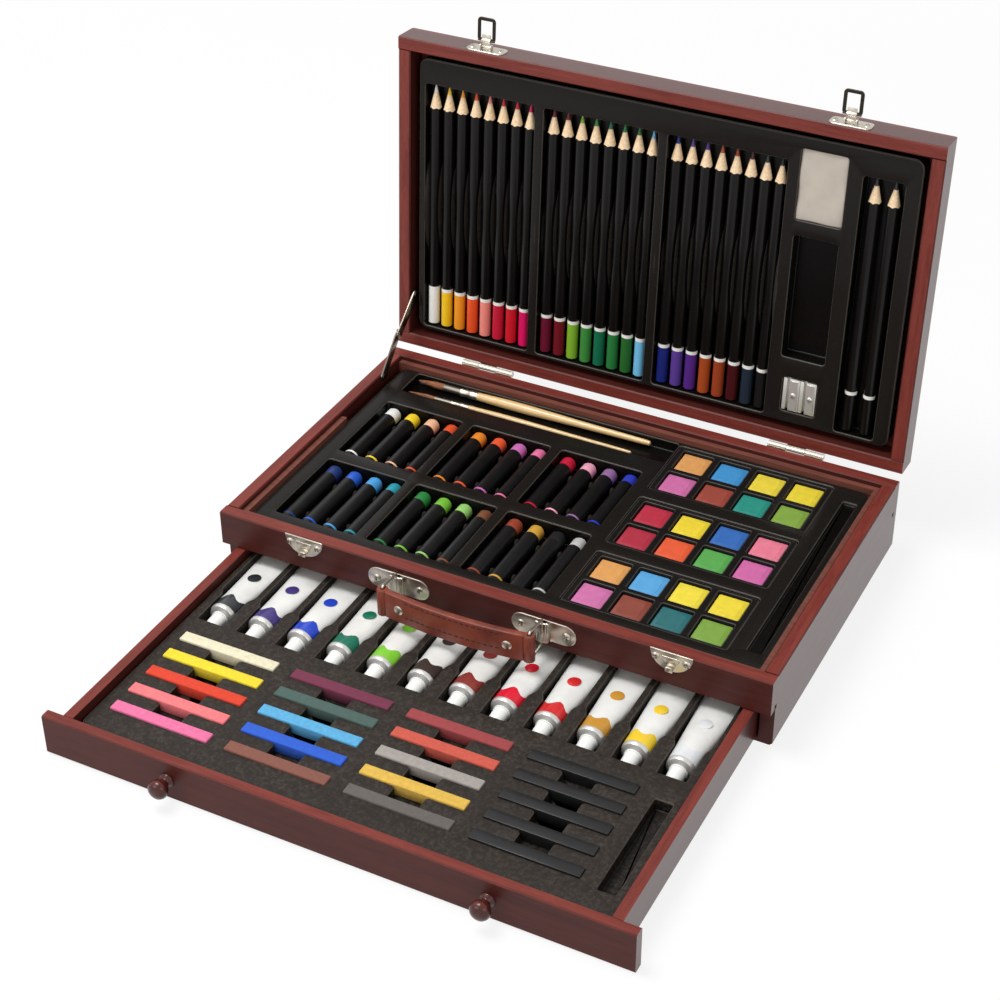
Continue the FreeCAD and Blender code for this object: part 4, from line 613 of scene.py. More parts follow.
basePockets += [(pocketFace(palettes["x"], y, *baseTray["palettePocket"]), palettes["height"])
                for y in palettes["rows"]]
basePockets.append((pocketFace(*baseTray["sidePocket"]), baseTray["sideDepth"]))
# small humps keep the pastels apart
baseNubs = [(x, y + shift, *baseTray["nub"]) for group in oils["groups"] for y in oils["rows"]
            for x in spread(group, oils["pitch"], oils["perGroup"] - 1)
            for shift in (-baseTray["nubShift"], baseTray["nubShift"])]
formedTray("base_tray_sheet", "case", "trayBlack", ((0, 0), formed["size"], baseTrayTop, deckTop), basePockets,
           "base_tray", blackTrayPaintedLight, baseNubs)

sticks = {
    "length": 67.0, "side": 8.0, "sunk": 7.0, "pitch": 17.7, "count": 5, "start": 32.5,
    "columns": [-127.5, -48.9, 29.7, 108.3], "bayHalf": (34.2, 4.8), "notchHalf": 11.0,
    "chalks": [tints((230, 114, 158), (236, 122, 126), (216, 66, 42), (236, 212, 50), (228, 220, 190)),
               tints((130, 82, 70), (42, 92, 200), (90, 168, 212), (72, 94, 88), (112, 46, 70)),
               tints((98, 92, 88), (216, 176, 76), (158, 152, 146), (198, 86, 70), (152, 64, 66))],
    "graphite": tint(30, 29, 30),
}
tubes = {
    "pitch": 28.0, "count": 12, "radius": 9.0, "start": 122.0, "length": 82.0, "cap": 11.0, "capSteps": 30,
    "bayHalf": (10.1, 12.9), "bayRoom": 0.8, "bayTail": 0.62, "bayTaper": 5,
    # half width, half height and place of each ring along the tube; the metal ends at one, the printed band at another
    "rings": [(4.2, 4.2, 10.8), (5.2, 5.2, 11), (8.3, 8.3, 12.2), (9, 9, 13.4), (9.1, 8.9, 15), (9.5, 8, 25),
              (9.9, 6.9, 33), (10.6, 5.4, 45), (11.5, 3.4, 60), (12.2, 1.5, 72), (12.5, 0.75, 78), (12.5, 0.7, 82)],
    "metalEnd": 15, "bandEnd": 25, "bandWave": 1.9, "tailHalf": 12.5, "folds": (78.6, 80.0), "foldLength": 1.3,
    "body": tint(232, 232, 228), "fold": tint(226, 226, 224), "capColour": tint(230, 230, 226),
    "colours": tints((38, 42, 46), (64, 50, 118), (30, 66, 190), (22, 112, 88), (126, 200, 56), (58, 48, 44),
                     (134, 52, 46), (216, 24, 50), (206, 38, 40), (200, 144, 50), (236, 200, 50), (222, 224, 226)),
}
drawerTray = {"sidePocket": (158.5, 64, 13, 78, 2.0), "sideDepth": 8.0, "stickCorner": 1.3, "tubeCorner": 1.6}
drawerFace = span("drawer_front")[0].y + drawerTravel
drawerBed = span("drawer_bottom")[1].z
drawerLow, drawerHigh = span("drawer_tray")
drawerTrayTop = drawerHigh.z
stickRows = [drawerFace + sticks["start"] + n * sticks["pitch"] for n in range(sticks["count"])]
tubeXs = spread(0, tubes["pitch"], tubes["count"])
tubeFront = drawerFace + tubes["start"]


def mirrored(x, right):
    # an outline, closed by its own mirror image about x
    return right + [(2 * x - px, py) for px, py in reversed(right)]


def ladder(x):
    # five stick bays joined by finger notches
    (half, side), finger = sticks["bayHalf"], sticks["notchHalf"]
    right = []
    for y, following in zip(stickRows, stickRows[1:] + [None]):
        right += [(x + half, y - side), (x + half, y + side)]
        if following:
            right += [(x + finger, y + side), (x + finger, following - side)]
    return mirrored(x, right)


def tubeBay(x):
    narrow, wide = tubes["bayHalf"]
    front = tubeFront - tubes["bayRoom"]
    back = tubeFront + tubes["length"] + tubes["bayRoom"]
    tail = back - tubes["bayTail"] * tubes["length"]
    return mirrored(x, [(x + narrow, front), (x + narrow, tail - tubes["bayTaper"]), (x + wide, tail),
                        (x + wide, back)])


sideX, sideY, *sideShape = drawerTray["sidePocket"]
drawerPockets = [(outlineFace(ladder(x), drawerTray["stickCorner"]), sticks["sunk"]) for x in sticks["columns"]]
drawerPockets += [(outlineFace(tubeBay(x), drawerTray["tubeCorner"]), drawerTrayTop - drawerBed - formed["skin"])
                  for x in tubeXs]
drawerPockets.append((pocketFace(sideX, drawerFace + sideY, *sideShape), drawerTray["sideDepth"]))
formedTray("drawer_tray_sheet", "drawer", "trayGrey",
           ((0, (drawerLow.y + drawerHigh.y) / 2 + drawerTravel), (drawerHigh - drawerLow)[:2], drawerTrayTop,
            drawerBed), drawerPockets, "drawer_tray", dustyTrayPaintedLight)
print("trays formed")


def pencilRow(word, leadMaterial, xs, ends, leadColours):
    # each pencil is drawn round Z: its end, a ring, the barrel, and the cone of bare wood
    p = pencils
    radius, shoulder, ringEnd = p["radius"], p["length"] - p["point"], p["endLength"] + p["ringLength"]
    barrels, leads = newMesh(), newMesh()
    for x, end, leadColour in zip(xs, ends, leadColours):
        part = newMesh()
        lathe(part, [(0, 0), (radius - p["bevel"], 0), (radius, p["bevel"]), (radius, p["endLength"])], colour=end)
        lathe(part, [(radius, p["endLength"]), (radius, ringEnd)])
        lathe(part, [(radius, ringEnd), (radius, shoulder - 1), (radius, shoulder)], colour=black)
        lathe(part, [(radius, shoulder), (p["leadRadius"], p["length"] - p["lead"])], material=1)
        for vert in part.verts:  # the wavy edge that a sharpener leaves on the lacquer
            if abs(vert.co.z - shoulder) < 0.01:
                vert.co.z += p["wave"] * math.cos(6 * math.atan2(vert.co.y, vert.co.x))
        join(barrels, part, at((x, pencilBack, pencilZ), "Y"), colour=None)
        lathe(leads, [(0, 0), (p["leadRadius"], 0), (p["leadTip"], p["lead"] - 0.4), (0, p["lead"])],
              at((x, pencilBack + p["length"] - p["lead"], pencilZ), "Y"), 16, leadColour)
    finishPiece(f"{word}_pencil_set", barrels, ["lacquer", "pencilWood"], "lid", f"{word}_pencils", smooth=30)
    finishPiece(f"{word}_lead_set", leads, [leadMaterial], "lid", f"{word}_leads")


pencilXs = [x for group in pencils["groups"] for x in spread(group, pencils["pitch"], pencils["perGroup"])]
pencilRow("colour", "lead", pencilXs, pencils["ends"], pencils["ends"])
pencilRow("graphite", "graphite", pencils["graphite"], [black] * 2, [tint(52, 52, 54)] * 2)
print("pencils in the lid:", len(pencilXs) + len(pencils["graphite"]))

eraser = {"y": lidBack + 181.5, "half": (16, 24.5), "height": 9.6, "dent": 0.5, "colour": tint(190, 180, 168)}
bm = newMesh()
halfWide, halfLong = eraser["half"]
roundedBox(bm, (columnX - halfWide, eraser["y"] - halfLong, pocketFloor),
           (columnX + halfWide, eraser["y"] + halfLong, pocketFloor + eraser["height"]), 1.6, 3)
bmesh.ops.subdivide_edges(bm, edges=[edge for edge in bm.edges if edge.calc_length() > 8], cuts=6, use_grid_fill=True)
for vert in bm.verts:
    if vert.co.z > pocketFloor + 8:
        vert.co.z -= eraser["dent"] * (1 + math.sin(vert.co.x * 0.31) * math.cos(vert.co.y * 0.23))
mark(bm, eraser["colour"])
finishPiece("kneaded_eraser_block", bm, ["rubber"], "lid", "kneaded_eraser")


def screwHead(bm, centre, facing, radius, height, slotTurn):
    # a domed head with a cross slot of black bars, a painted shadow; material 1 is that painted shadow
    lathe(bm, [(0, height), (0.45 * radius, 0.93 * height), (0.8 * radius, 0.62 * height), (radius, 0.12 * height),
               (radius, 0)], at(centre, facing), 20)
    for turn in (slotTurn, slotTurn + math.pi / 2):
        roundedBox(bm, (-0.62 * radius, -0.1 * radius, 0.5 * height), (0.62 * radius, 0.1 * radius, 0.98 * height),
                   0.05, 1, black, 1, at(centre, facing, turn))


sharpener = {"y": lidBack + 22.0, "width": 23.0, "length": 24.0, "thick": 10.5, "screwRadius": 1.9, "screwHeight": 0.9}
bodies, blades, screws = newMesh(), newMesh(), newMesh()
half = sharpener["width"] / 4
front, back, top = sharpener["y"], sharpener["y"] + sharpener["length"], pocketFloor + sharpener["thick"]
for side in (-1, 1):
    x = columnX + side * half
    # the base, then a cheek and the blade's bed with the channel between them
    roundedBox(bodies, (x - half + 0.04, front, pocketFloor), (x + half - 0.04, back, top - 3.4))
    roundedBox(bodies, (x - half + 0.05, front + 0.2, top - 3.9), (x - 3.1, back - 0.2, top - 0.5))
    roundedBox(bodies, (x - 1.2, front + 0.2, top - 3.9), (x + half - 0.05, back - 0.2, top - 0.35), 0.4)
    roundedBox(blades, (x - 1.0, front + 1.5, top - 0.36), (x + 4.6, back - 1.5, top + 0.3), 0.15, 1)
    screwHead(screws, (x + 1.8, front + 12, top + 0.3), "Z", sharpener["screwRadius"], sharpener["screwHeight"],
              0.4 + side)
finishPiece("sharpener_block", bodies, ["aluminium"], "lid", "sharpener_body")
finishPiece("sharpener_blade_pair", blades, ["steel"], "lid", "sharpener_blades")
finishPiece("sharpener_screw_pair", screws, ["steel", "wrapper"], "lid", "sharpener_screws")
print("eraser and sharpener in")

bm = newMesh()
radius, length, wax = oils["radius"], oils["length"], oils["radius"] - oils["paper"]
band, ringEnd, paperEnd = oils["band"], oils["band"] + oils["ring"], length - oils["tip"]
under = radius - 0.3
oilPlaces = [(x, y) for y in oils["rows"] for group in oils["groups"]
             for x in spread(group, oils["pitch"], oils["perGroup"])]
for (x, y), colour in zip(oilPlaces, oils["colours"]):
    place = at((x, y - length / 2, deckTop + formed["skin"] + radius + oils["rise"]), "Y")
    for profile, own, material in (
            ([(wax, paperEnd - 1), (wax, length - 2.6), (0.72 * radius, length - 0.7), (0.4 * radius, length - 0.15),
              (0, length)], colour, 0),
            ([(0, 0), (0.8 * radius, 0), (wax, 0.6), (wax, 2)], colour, 0),
            ([(under, 1), (radius, 1), (radius, band)], oils["wrapper"], 1),
            ([(radius, ringEnd), (radius, paperEnd), (under, paperEnd)], oils["wrapper"], 1),
            ([(radius, band), (radius, ringEnd)], colour, 1)):
        lathe(bm, profile, place, colour=own, material=material)
finishPiece("oil_pastel_set", bm, ["wax", "wrapper"], "case", "oil_pastels")

brushes = {"tip": -160.0, "pair": [(95.0, 3.2, 180.0, tint(222, 184, 128)), (80.6, 2.1, 172.0, tint(224, 188, 134))]}
hairs, ferrules, handles = newMesh(), newMesh(), newMesh()
for y, radius, length, lacquer in brushes["pair"]:
    place = at((brushes["tip"], y, baseTrayTop - baseTray["brushDepth"] + 1.1 * radius + 0.2), "X")
    # each profile is (share of the radius, distance from the tip)
    for bm, profile, colour in (
            (hairs, [(0, 0), (0.22, 2), (0.52, 8), (0.78, 15), (0.72, 22)], white),
            (ferrules, [(0.72, 21.6), (0.8, 22), (0.8, 34), (0.9, 34.6), (0.9, 35.6), (0.86, 36.2), (0.93, 42),
                        (1, 42.6), (1, 43.6), (0.95, 44.2), (0.96, 48), (0.8, 48.2)], white),
            (handles, [(0.88, 48), (0.92, 52), (1.08, 72), (1.08, 88), (0.8, 125), (0.6, length - 6),
                       (0.5, length - 1), (0, length)], lacquer)):
        lathe(bm, [(radius * share, along) for share, along in profile], place, colour=colour)
finishPiece("brush_hair_pair", hairs, ["hair"], "case", "brush_tips")
finishPiece("brush_ferrule_pair", ferrules, ["nickel"], "case", "brush_ferrules")
finishPiece("brush_handle_pair", handles, ["handle"], "case", "brush_handles")

bm, pans = newMesh(), newMesh()
floor = baseTrayTop - palettes["height"]
for rowY, colours in zip(palettes["rows"], palettes["colours"]):
    panPlaces = [(x, y) for y in spread(rowY, -palettes["rowPitch"], 2)
                 for x in spread(palettes["x"], palettes["pitch"], 4)]
    plate = roundFace(bm, (palettes["x"], rowY), *palettes["size"], palettes["corner"], floor, 4)
    pocketSheet(bm, plate, [(upright, -5.2), (0.25, -0.55), (0.55, -0.25)], floor + 6.0,
                [(pocketFace(x, y, *palettes["well"], 1.6, 3), [(0.2, 0.06), (0.25, 0.3), (0.25, 4.2), (0.3, 0.3)])
                 for x, y in panPlaces])
    for (x, y), colour in zip(panPlaces, colours):
        height = palettes["panHeight"]
        pressedPlate(pans, palettes["pan"], 1.0, 3, [(upright, 0.75 - height), (0.15, -0.35), (0.35, -0.15)],
                     at((x, y, floor + 1)), colour)
        pressedPlate(pans, palettes["panel"], 1.4, 3, [(upright, -0.08), (0.16, -0.16)],
                     at((x, y, floor + height + 0.7)), colour)
# the palettes' wells are painted darker and their rounded rims lighter: painted shade and painted highlights
mark(bm, tint(20, 19, 18))
markHigh(bm, floor + 5.4, tint(24, 22, 21), tint(66, 62, 58))
finishPiece("watercolour_palette_set", bm, ["trayBlack"], "case", "watercolour_palettes")
finishPiece("watercolour_pan_set", pans, ["pressed"], "case", "watercolour_pans")
print("case filled")

bm, caps = newMesh(), newMesh()
tubeZ = drawerBed + formed["skin"] + tubes["radius"]
for n, (x, colour) in enumerate(zip(tubeXs, tubes["colours"])):
    place = at((x, tubeFront, tubeZ), "Y")
    part = newMesh()
    ring = bmesh.ops.create_circle(part, cap_ends=False, segments=28, radius=1.0)["verts"]
    edges = part.edges[:]
    was = (1.0, 1.0, 0.0)
    for station in tubes["rings"]:
        if was[2]:  # the first ring is the circle itself
            made = bmesh.ops.extrude_edge_only(part, edges=edges)["geom"]
            ring = [item for item in made if isinstance(item, bmesh.types.BMVert)]
            edges = [item for item in made if isinstance(item, bmesh.types.BMEdge)]
        bmesh.ops.scale(part, vec=(station[0] / was[0], station[1] / was[1], 1), verts=ring)
        bmesh.ops.translate(part, vec=(0, 0, station[2] - was[2]), verts=ring)
        was = station
        if was[2] == tubes["bandEnd"]:
            ragged = ring
    start = tubes["cap"]
    for own, number, end in ((white, 1, tubes["metalEnd"]), (colour, 0, tubes["bandEnd"]),
                             (tubes["body"], 0, tubes["length"])):
        mark(part, own, number, [face for face in part.faces if start < face.calc_center_median().z < end])
        start = end
    for index, vert in enumerate(ragged):  # the printed colour ends unevenly
        vert.co.z += tubes["bandWave"] * math.sin(index * 2.1 + n) * (index % 2 * 2 - 1)
    join(bm, part, place, colour=None)
    for fold in tubes["folds"]:  # the crimp is rolled over twice
        roundedBox(bm, (x - tubes["tailHalf"], tubeFront + fold, tubeZ - 0.7),
                   (x + tubes["tailHalf"], tubeFront + fold + tubes["foldLength"], tubeZ + 1.15), 0.4, 2, tubes["fold"])
    # a dot of the tube's colour
    lathe(bm, [(0, 0.16), (3.9, 0.12), (4.2, 0), (4.0, -0.4), (0, -0.4)],
          Matrix.Translation((x, tubeFront + 50, tubeZ + 4.95)) @ Matrix.Rotation(-0.135, 4, "X") @
          Matrix.Diagonal((1, 1.15, 1, 1)), colour=colour)
    cap = newMesh()
    lathe(cap, [(0, 0), (4.4, 0), (4.9, 0.5), (5.3, 9.6), (5.75, 9.8), (5.75, tubes["cap"] - 0.3), (5.2, tubes["cap"])],
          steps=tubes["capSteps"])
    for vert in cap.verts:  # ribs for the fingers
        step = math.atan2(vert.co.y, vert.co.x) / (2 * math.pi / tubes["capSteps"])
        if 0.4 < vert.co.z < 9.7 and round(step) % 2:
            vert.co.xy *= 0.97
    join(caps, cap, place, tubes["capColour"])
finishPiece("paint_tube_set", bm, ["enamel", "steel"], "drawer", "paint_tubes")
finishPiece("tube_cap_set", caps, ["cap"], "drawer", "tube_caps")


def stickSet(name, material, node, columns, bevel, segments):
    # columns are (x, colours)
    bm = newMesh()
    halfLong, halfSide, z = sticks["length"] / 2, sticks["side"] / 2, drawerTrayTop - sticks["sunk"]
    for x, colours in columns:
        for y, colour in zip(stickRows, colours):
            roundedBox(bm, (x - halfLong, y - halfSide, z), (x + halfLong, y + halfSide, z + sticks["side"]),
                       bevel, segments, colour)
    finishPiece(name, bm, [material], "drawer", node)


stickSet("soft_pastel_set", "chalk", "soft_pastels", list(zip(sticks["columns"], sticks["chalks"])), 0.7, 3)
stickSet("graphite_stick_set", "graphite", "graphite_sticks",
         [(sticks["columns"][-1], [sticks["graphite"]] * sticks["count"])], 0.5, 2)

knob = {"x": 101.9, "z": 14.4, "profile": [
    (0, -0.1), (4.6, -0.1), (4.8, 0.5), (4.3, 1.2), (3.0, 2.2), (2.8, 3.4), (3.6, 4.6), (5.2, 5.8), (6.0, 7.4),
    (6.2, 8.8), (5.9, 10.2), (5.0, 11.6), (3.4, 12.6), (1.7, 12.95), (0, 13)]}
bm = newMesh()
for x in (-knob["x"], knob["x"]):
    lathe(bm, knob["profile"], at((x, drawerFace, knob["z"]), "-Y"), 32)
finishPiece("knob_pair", bm, ["knob"], "drawer", "drawer_knobs", smooth=60)
print("drawer filled")

handle = {
    "middle": -7.5, "spacing": 99.5, "z": 40.4, "plate": (43.0, 15.0), "barrelOut": 2.6, "barrelHalf": 7.3,
    "folds": [(4.6, 1.2), (3.3, 1.7), (1.3, 2.1)], "screwSpacing": 30, "reach": 17.0, "wire": 0.9, "ringHalf": 8.8,
    "ringRoom": 0.6, "ringCorner": (2.4, 0.72), "strapHeight": 19.2, "strapThick": 4.6, "bow": 4.0,
    "stitches": 17, "stitchEnd": 19, "stitchRows": (-3.6, 7.2), "rivetEnd": 13,
}
handleZ, halfSpan, halfStrap = handle["z"], handle["spacing"] / 2, handle["strapHeight"] / 2
pivotY = caseFront - handle["barrelOut"]
legY = pivotY - handle["reach"]
handleXs = spread(handle["middle"], handle["spacing"], 2)


def ringWire(word, x):
    # a wire bent round four corners
    outer = halfStrap + handle["wire"] + handle["ringRoom"]
    corners = [Vector((x, y, handleZ + z)) for y, z in ((pivotY, -handle["ringHalf"]), (pivotY, handle["ringHalf"]),
                                                        (legY, outer), (legY, -outer))]
    far, near = handle["ringCorner"]
    points = []
    for before, here, after in zip(corners[-1:] + corners, corners, corners[1:] + corners[:1]):
        back, ahead = (before - here).normalized(), (after - here).normalized()
        points += [here + back * far, here + back * near, here + ahead * near, here + ahead * far]
    name = f"handle_ring_wire_{word}"
    curve = bpy.data.curves.new(name, "CURVE")
    curve.dimensions = "3D"
    curve.bevel_depth = handle["wire"]
    curve.bevel_resolution = 4
    curve.resolution_u = 6
    spline = curve.splines.new("NURBS")
    spline.points.add(len(points) - 1)
    for point, co in zip(spline.points, points):
        point.co = (*co, 1)
    spline.use_cyclic_u = True
    spline.order_u = 3
    shaped = bpy.data.objects.new(name, curve)
    bpy.context.scene.collection.objects.link(shaped)
    mesh = bpy.data.meshes.new_from_object(shaped.evaluated_get(bpy.context.evaluated_depsgraph_get()))
    bpy.data.objects.remove(shaped)
    bm = newMesh()
    bm.from_mesh(mesh)
    mark(bm, white)
    finishPiece(name, bm, ["nickel"], f"ring_{word}", f"handle_ring_{word}")


bm = newMesh()
for word, x in zip(("left", "right"), handleXs):
    ringWire(word, x)
    pressedPlate(bm, handle["plate"], handle["plate"][1] / 2 - 0.02, 10,
                 [(upright, -0.48), (0.2, -0.224), (0.35, -0.096)], at((x, caseFront, handleZ), "-Y"))
    for wide, out in handle["folds"]:  # the sheet folds out round the wire in steps
        roundedBox(bm, (x - wide, pivotY - out, handleZ - handle["barrelHalf"]),
                   (x + wide, caseFront - 0.1, handleZ + handle["barrelHalf"]), 0.7, 3)
finishPiece("handle_plate_pair", bm, ["nickel"], "case", "handle_plates")

keeper = {"x": 124.8, "radius": 13.5, "bossRadius": 5.6, "bossDrop": 3.2, "hookHalf": 2.5, "hookOut": 4.0,
          "screwDrop": 5.0, "screwSpacing": 19.6}


def halfMoon(bm, x, radius, drop, steps):
    # a plate under the rim's edge, cut straight along its top
    part = newMesh()
    bmesh.ops.create_circle(part, cap_ends=True, segments=48, radius=radius)
    bmesh.ops.bisect_plane(part, geom=[*part.verts, *part.edges, *part.faces], plane_co=(0, 0, 0), plane_no=(0, 1, 0),
                           clear_outer=True)
    bmesh.ops.remove_doubles(part, verts=part.verts[:], dist=0.3)
    plate = part.faces[:][0]
    if plate.normal.z < 0:
        plate.normal_flip()
    sink(part, plate, steps)
    join(bm, part, at((x, caseFront, rimZ - drop), "-Y"))


bm = newMesh()
for x in (-keeper["x"], keeper["x"]):
    left, right, tip = x - keeper["hookHalf"], x + keeper["hookHalf"], caseFront - keeper["hookOut"]
    halfMoon(bm, x, keeper["radius"], 0, [(upright, -0.5), (0.15, -0.2), (0.3, -0.1)])
    halfMoon(bm, x, keeper["bossRadius"], keeper["bossDrop"], [(upright, -0.9), (0.12, -0.2), (0.25, -0.12)])
    roundedBox(bm, (left, tip, rimZ - 10.4), (right, caseFront - 0.4, rimZ - 9.5), 0.3)
    roundedBox(bm, (left, tip, rimZ - 12.0), (right, tip + 0.8, rimZ - 8.6), 0.35)
finishPiece("keeper_pair", bm, ["nickel"], "case", "keeper_plates")

bm = newMesh()
screwPlaces = [(x, handleZ) for middle in handleXs for x in spread(middle, handle["screwSpacing"], 2)]
screwPlaces += [(x, rimZ - keeper["screwDrop"]) for middle in (-keeper["x"], keeper["x"])
                for x in spread(middle, keeper["screwSpacing"], 2)]
for n, (x, z) in enumerate(screwPlaces):
    screwHead(bm, (x, caseFront - 0.75, z), "-Y", 2.6, 1.15, 0.3 + 1.7 * n)
finishPiece("case_screw_set", bm, ["nickel", "wrapper"], "case", "case_screws")


def bowAt(x):
    # how far out the bowed strap stands
    return legY - handle["bow"] * (1 - ((x - handle["middle"]) / halfSpan) ** 2)


def onStrap(x, out, z):
    # a place on the strap, turned with it
    slope = math.atan(2 * handle["bow"] * (x - handle["middle"]) / halfSpan ** 2)
    return at((x, bowAt(x) + out, handleZ + z), "Z", slope)


# a bent band with folded ends, stitched along both edges
bm = newMesh()
reach, surface = halfSpan - handle["barrelOut"], handle["strapThick"] / 2
roundedBox(bm, (handle["middle"] - reach, -surface, handleZ - halfStrap),
           (handle["middle"] + reach, surface, handleZ + halfStrap), 0.9, 3)
bmesh.ops.subdivide_edges(bm, edges=[edge for edge in bm.edges if edge.calc_length() > 40], cuts=28)
for vert in bm.verts:
    vert.co.y += bowAt(vert.co.x)
for x in handleXs:
    lathe(bm, [(1.35, 0), (3.1, 0), (3.6, 0.5), (3.6, 18.7), (3.1, 19.2), (1.35, 19.2), (1.35, 0)],
          at((x, legY, handleZ - halfStrap)), 28)
mark(bm, white)
stitchPitch = 2 * (halfSpan - handle["stitchEnd"]) / (handle["stitches"] - 1)
for x in spread(handle["middle"], stitchPitch, handle["stitches"]):
    for z in handle["stitchRows"]:
        for out in (-surface - 0.02, surface + 0.02):
            roundedBox(bm, (-1.25, -0.22, -0.35), (1.25, 0.22, 0.35), 0.18, 2, tint(38, 16, 14), 1, onStrap(x, out, z))
finishPiece("handle_strap_band", bm, ["leather", "thread"], "strap", "handle_strap", smooth=45)

bm = newMesh()
for x in spread(handle["middle"], 2 * (halfSpan - handle["rivetEnd"]), 2):
    for out, facing in ((-surface, "-Y"), (surface, "Y")):
        lathe(bm, [(0, 0.8), (1.6, 0.75), (2.6, 0.5), (3.2, 0.1), (3.2, 0)],
              onStrap(x, out, 0) @ at((0, 0, 0), facing), 28)
finishPiece("strap_rivet_set", bm, ["nickel"], "strap", "strap_rivets")
print("handle on")

latch = {"x": 124.8, "plate": (27.0, 11.5), "plateDrop": 1.25, "screwHalf": 10.3, "out": 2.4, "down": 5.5,
         "leverHalf": 3.2, "arm": 4.2, "bail": (13.0, 16.2), "strip": 2.3}
latchY = lidFront + latch["out"]
latchZ = lidRim - latch["down"]
barY = latchY + latch["arm"]
wide = latch["leverHalf"]
latchXs = (-latch["x"], latch["x"])
plates, screws = newMesh(), newMesh()
for n, x in enumerate(latchXs):
    pressedPlate(plates, latch["plate"], 3.2, 6, [(upright, -0.5), (0.2, -0.22), (0.3, -0.08)],
                 at((x, lidFront, latchZ - latch["plateDrop"]), "Y"))
    for middle in spread(x, 2 * (wide + 0.55), 2):
        lathe(plates, [(0, -0.35), (1.7, -0.35), (2.0, -0.2), (2.0, 0.2), (1.7, 0.35), (0, 0.35)],
              at((middle, latchY, latchZ), "X"))
        roundedBox(plates, (middle - 0.35, lidFront + 0.3, latchZ - 2), (middle + 0.35, latchY, latchZ + 2), 0.15, 1)
    for index, screwX in enumerate(spread(x, 2 * latch["screwHalf"], 2)):
        screwHead(screws, (screwX, lidFront + 0.75, latchZ - 0.75), "Y", 2.4, 0.9, 0.6 + 1.3 * (2 * n + index))
finishPiece("latch_plate_pair", plates, ["nickel"], "lid", "latch_plates")
finishPiece("latch_screw_set", screws, ["nickel", "wrapper"], "lid", "latch_screws")

for word, x in zip(("left", "right"), latchXs):
    bm = newMesh()
    lathe(bm, [(0, -4.2), (0.7, -4.2), (0.8, -4.0), (0.8, 4.0), (0.7, 4.2), (0, 4.2)], at((x, latchY, latchZ), "X"), 20)
    roundedBox(bm, (x - wide, latchY - 0.8, latchZ - 0.4), (x + wide, latchY + 8.2, latchZ + 0.4), 0.3)
    lathe(bm, [(0.78, -wide), (1.45, -wide), (1.5, 0.2 - wide), (1.5, wide - 0.2), (1.45, wide), (0.78, wide)],
          at((x, barY, latchZ), "X"))
    finishPiece(f"latch_lever_plate_{word}", bm, ["nickel"], f"lever_{word}", f"latch_lever_{word}")

    bm, part = newMesh(), newMesh()
    loop = roundFace(part, (x, barY + latch["bail"][1] / 2 - 0.7), *latch["bail"], 2.6, latchZ - 0.4, 6)
    sink(part, loop, [(upright, -0.55), (0.12, -0.17), (0.2, -0.08), (latch["strip"] - 0.65, 0), (0.2, 0.08),
                      (0.12, 0.17), (upright, 0.55)])
    bmesh.ops.delete(part, geom=[loop], context="FACES_ONLY")
    bmesh.ops.bridge_loops(part, edges=[edge for edge in part.edges if edge.is_boundary])
    join(bm, part)
    lathe(bm, [(0, -6.0), (0.7, -6.0), (0.7, 6.0), (0, 6.0)], at((x, barY, latchZ), "X"), 20)
    finishPiece(f"latch_bail_wire_{word}", bm, ["wire"], f"bail_{word}", f"latch_bail_{word}")

stay = {"length": 31.5, "width": 7, "corner": 3.48, "gap": 0.25, "layer": 1.25, "thick": 1.0}


def stayArm(name, body, node, layer, start, end, rivets):
    # an arm between two pivots, drawn along X; rivets are (distance along it, height)
    along = end - start
    stand = Matrix(((0, 0, 1, 0), (1, 0, 0, 0), (0, 1, 0, 0), (0, 0, 0, 1)))  # X to Y, Y to Z, Z to X
    left = caseLeft + case["wall"] + stay["gap"] + layer * stay["layer"]
    place = Matrix.Translation((left, start.y, start.z)) @ Matrix.Rotation(math.atan2(along.z, along.y), 4, "X") @ stand
    bm = newMesh()
    pressedPlate(bm, (stay["length"] + stay["width"], stay["width"]), stay["corner"], 8,
                 [(upright, -0.7), (0.15, -0.2), (0.25, -0.1)], place @ at((stay["length"] / 2, 0, 0)))
    for distance, tall in rivets:
        lathe(bm, [(0, tall), (1.4, tall - 0.08), (2.2, 0.5 * tall), (2.33, 0)],
              place @ at((distance, 0, stay["thick"])), 20)
    finishPiece(name, bm, ["stay"], body, node)


foot, head = [Vector(joints[name]["pos_m"]) / mm for name in ("stay_lower_turn", "stay_upper_turn")]
foot.x = head.x = 0
square = (head - foot).cross(Vector((1, 0, 0))).normalized()
elbow = (foot + head) / 2 - square * math.sqrt(max(stay["length"] ** 2 - (head - foot).length ** 2 / 4, 0))
stayArm("stay_arm_low", "stay_lower", "stay_lower_arm", 0, foot, elbow, [(0, 0.55)])
stayArm("stay_arm_high", "stay_upper", "stay_upper_arm", 1, head, elbow, [(0, 0.55), (stay["length"], 0.6)])
print("latches and stay on")


def seenRays(tree):
    # 1 for the rays that show the background: camera, glossy and transmission
    path = addNode(tree, "ShaderNodeLightPath").outputs
    total = path["Is Camera Ray"]
    for kind in ("Is Glossy Ray", "Is Transmission Ray"):
        total = addNode(tree, "ShaderNodeMath", {0: total, 1: path[kind]}, operation="MAXIMUM").outputs[0]
    return total


def blend(tree, share, first, second, output):
    # shows one shader or the other
    mixed = addNode(tree, "ShaderNodeMixShader", {0: share, 1: first.outputs[0], 2: second.outputs[0]})
    tree.links.new(mixed.outputs[0], tree.nodes[output].inputs["Surface"])


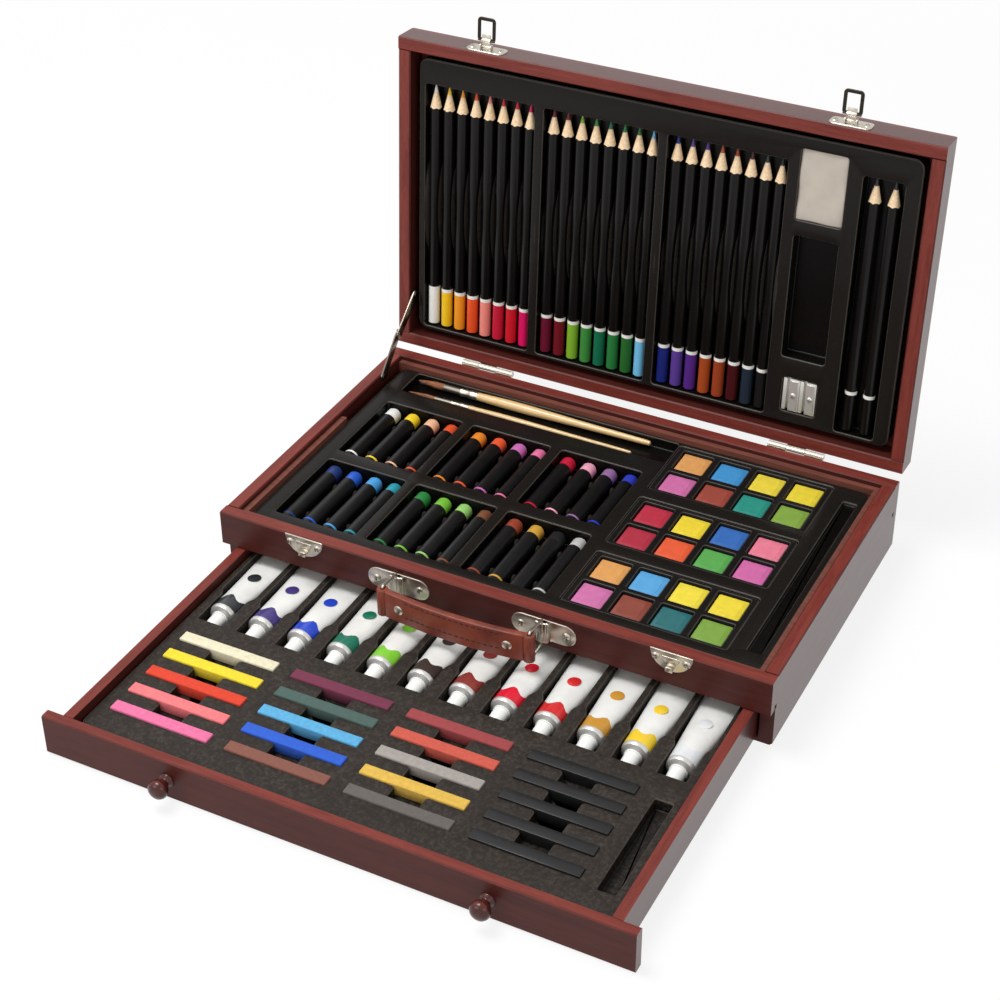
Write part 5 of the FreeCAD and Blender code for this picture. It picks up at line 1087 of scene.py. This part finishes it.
# far off, the floor becomes the backdrop
studio = Shader("studio floor", grey(0.86), 0.9)
own = studio.add("ShaderNodeTexCoord").outputs["Object"]
away = studio.add("ShaderNodeVectorMath", {0: own}, operation="LENGTH").outputs["Value"]
fade = studio.add("ShaderNodeMapRange", {"Value": away, "From Min": 0.5, "From Max": 1.5, "To Min": 0.82,
                                         "To Max": 1.0})
share = studio.add("ShaderNodeMath", {0: seenRays(studio.tree), 1: fade.outputs["Result"]}, operation="MULTIPLY")
glow = studio.add("ShaderNodeEmission", {"Color": grey(1)})
blend(studio.tree, share.outputs[0], studio.surface, glow, "Material Output")

bm = bmesh.new()
bmesh.ops.create_grid(bm, x_segments=1, y_segments=1, size=6)
floorMesh = bpy.data.meshes.new("floor")
bm.to_mesh(floorMesh)
bm.free()
floorMesh.materials.append(studio.material)
floorPiece = bpy.data.objects.new("floor", floorMesh)
floorPiece.location.z = -0.0002
bpy.context.scene.collection.objects.link(floorPiece)
floorPiece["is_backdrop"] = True

world = bpy.data.worlds.new("studio")
bpy.context.scene.world = world
world.use_nodes = True
fill = world.node_tree.nodes["Background"]
fill.inputs["Color"].default_value = grey(1)
fill.inputs["Strength"].default_value = 0.55
backdrop = addNode(world.node_tree, "ShaderNodeBackground", {"Color": grey(1)})
blend(world.node_tree, seenRays(world.node_tree), fill, backdrop, "World Output")

# each lamp's place, size and power
lamps = {"key": ((-0.55, -0.35, 1.75), 0.8, 26), "side": ((1.3, -0.9, 0.9), 0.8, 3.5),
         "front": ((-0.7, -1.5, 0.9), 0.9, 5)}
low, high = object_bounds()
for name, (location, size, power) in lamps.items():
    data = bpy.data.lights.new(name, "AREA")
    data.energy = power
    data.size = size
    lamp = bpy.data.objects.new(name, data)
    lamp.location = location
    lamp.rotation_mode = "QUATERNION"
    lamp.rotation_quaternion = ((low + high) / 2 - Vector(location)).to_track_quat("-Z", "Y")
    bpy.context.scene.collection.objects.link(lamp)

view = {"place": (0.4694, -0.9867, 0.8237), "down": 34.092, "round": 26.666, "lens": 75, "shift": (-0.027, -0.045)}
lens = bpy.data.cameras.new("camera")
lens.sensor_width = 36
lens.lens = view["lens"]
lens.shift_x, lens.shift_y = view["shift"]
lens.clip_start, lens.clip_end = 0.05, 20
camera = bpy.data.objects.new("camera", lens)
camera.location = view["place"]
camera.rotation_euler = (math.radians(90 - view["down"]), 0, math.radians(view["round"]))
bpy.context.scene.collection.objects.link(camera)
bpy.context.scene.camera = camera

bpy.context.scene.view_settings.view_transform = "Standard"
bpy.context.view_layer.update()
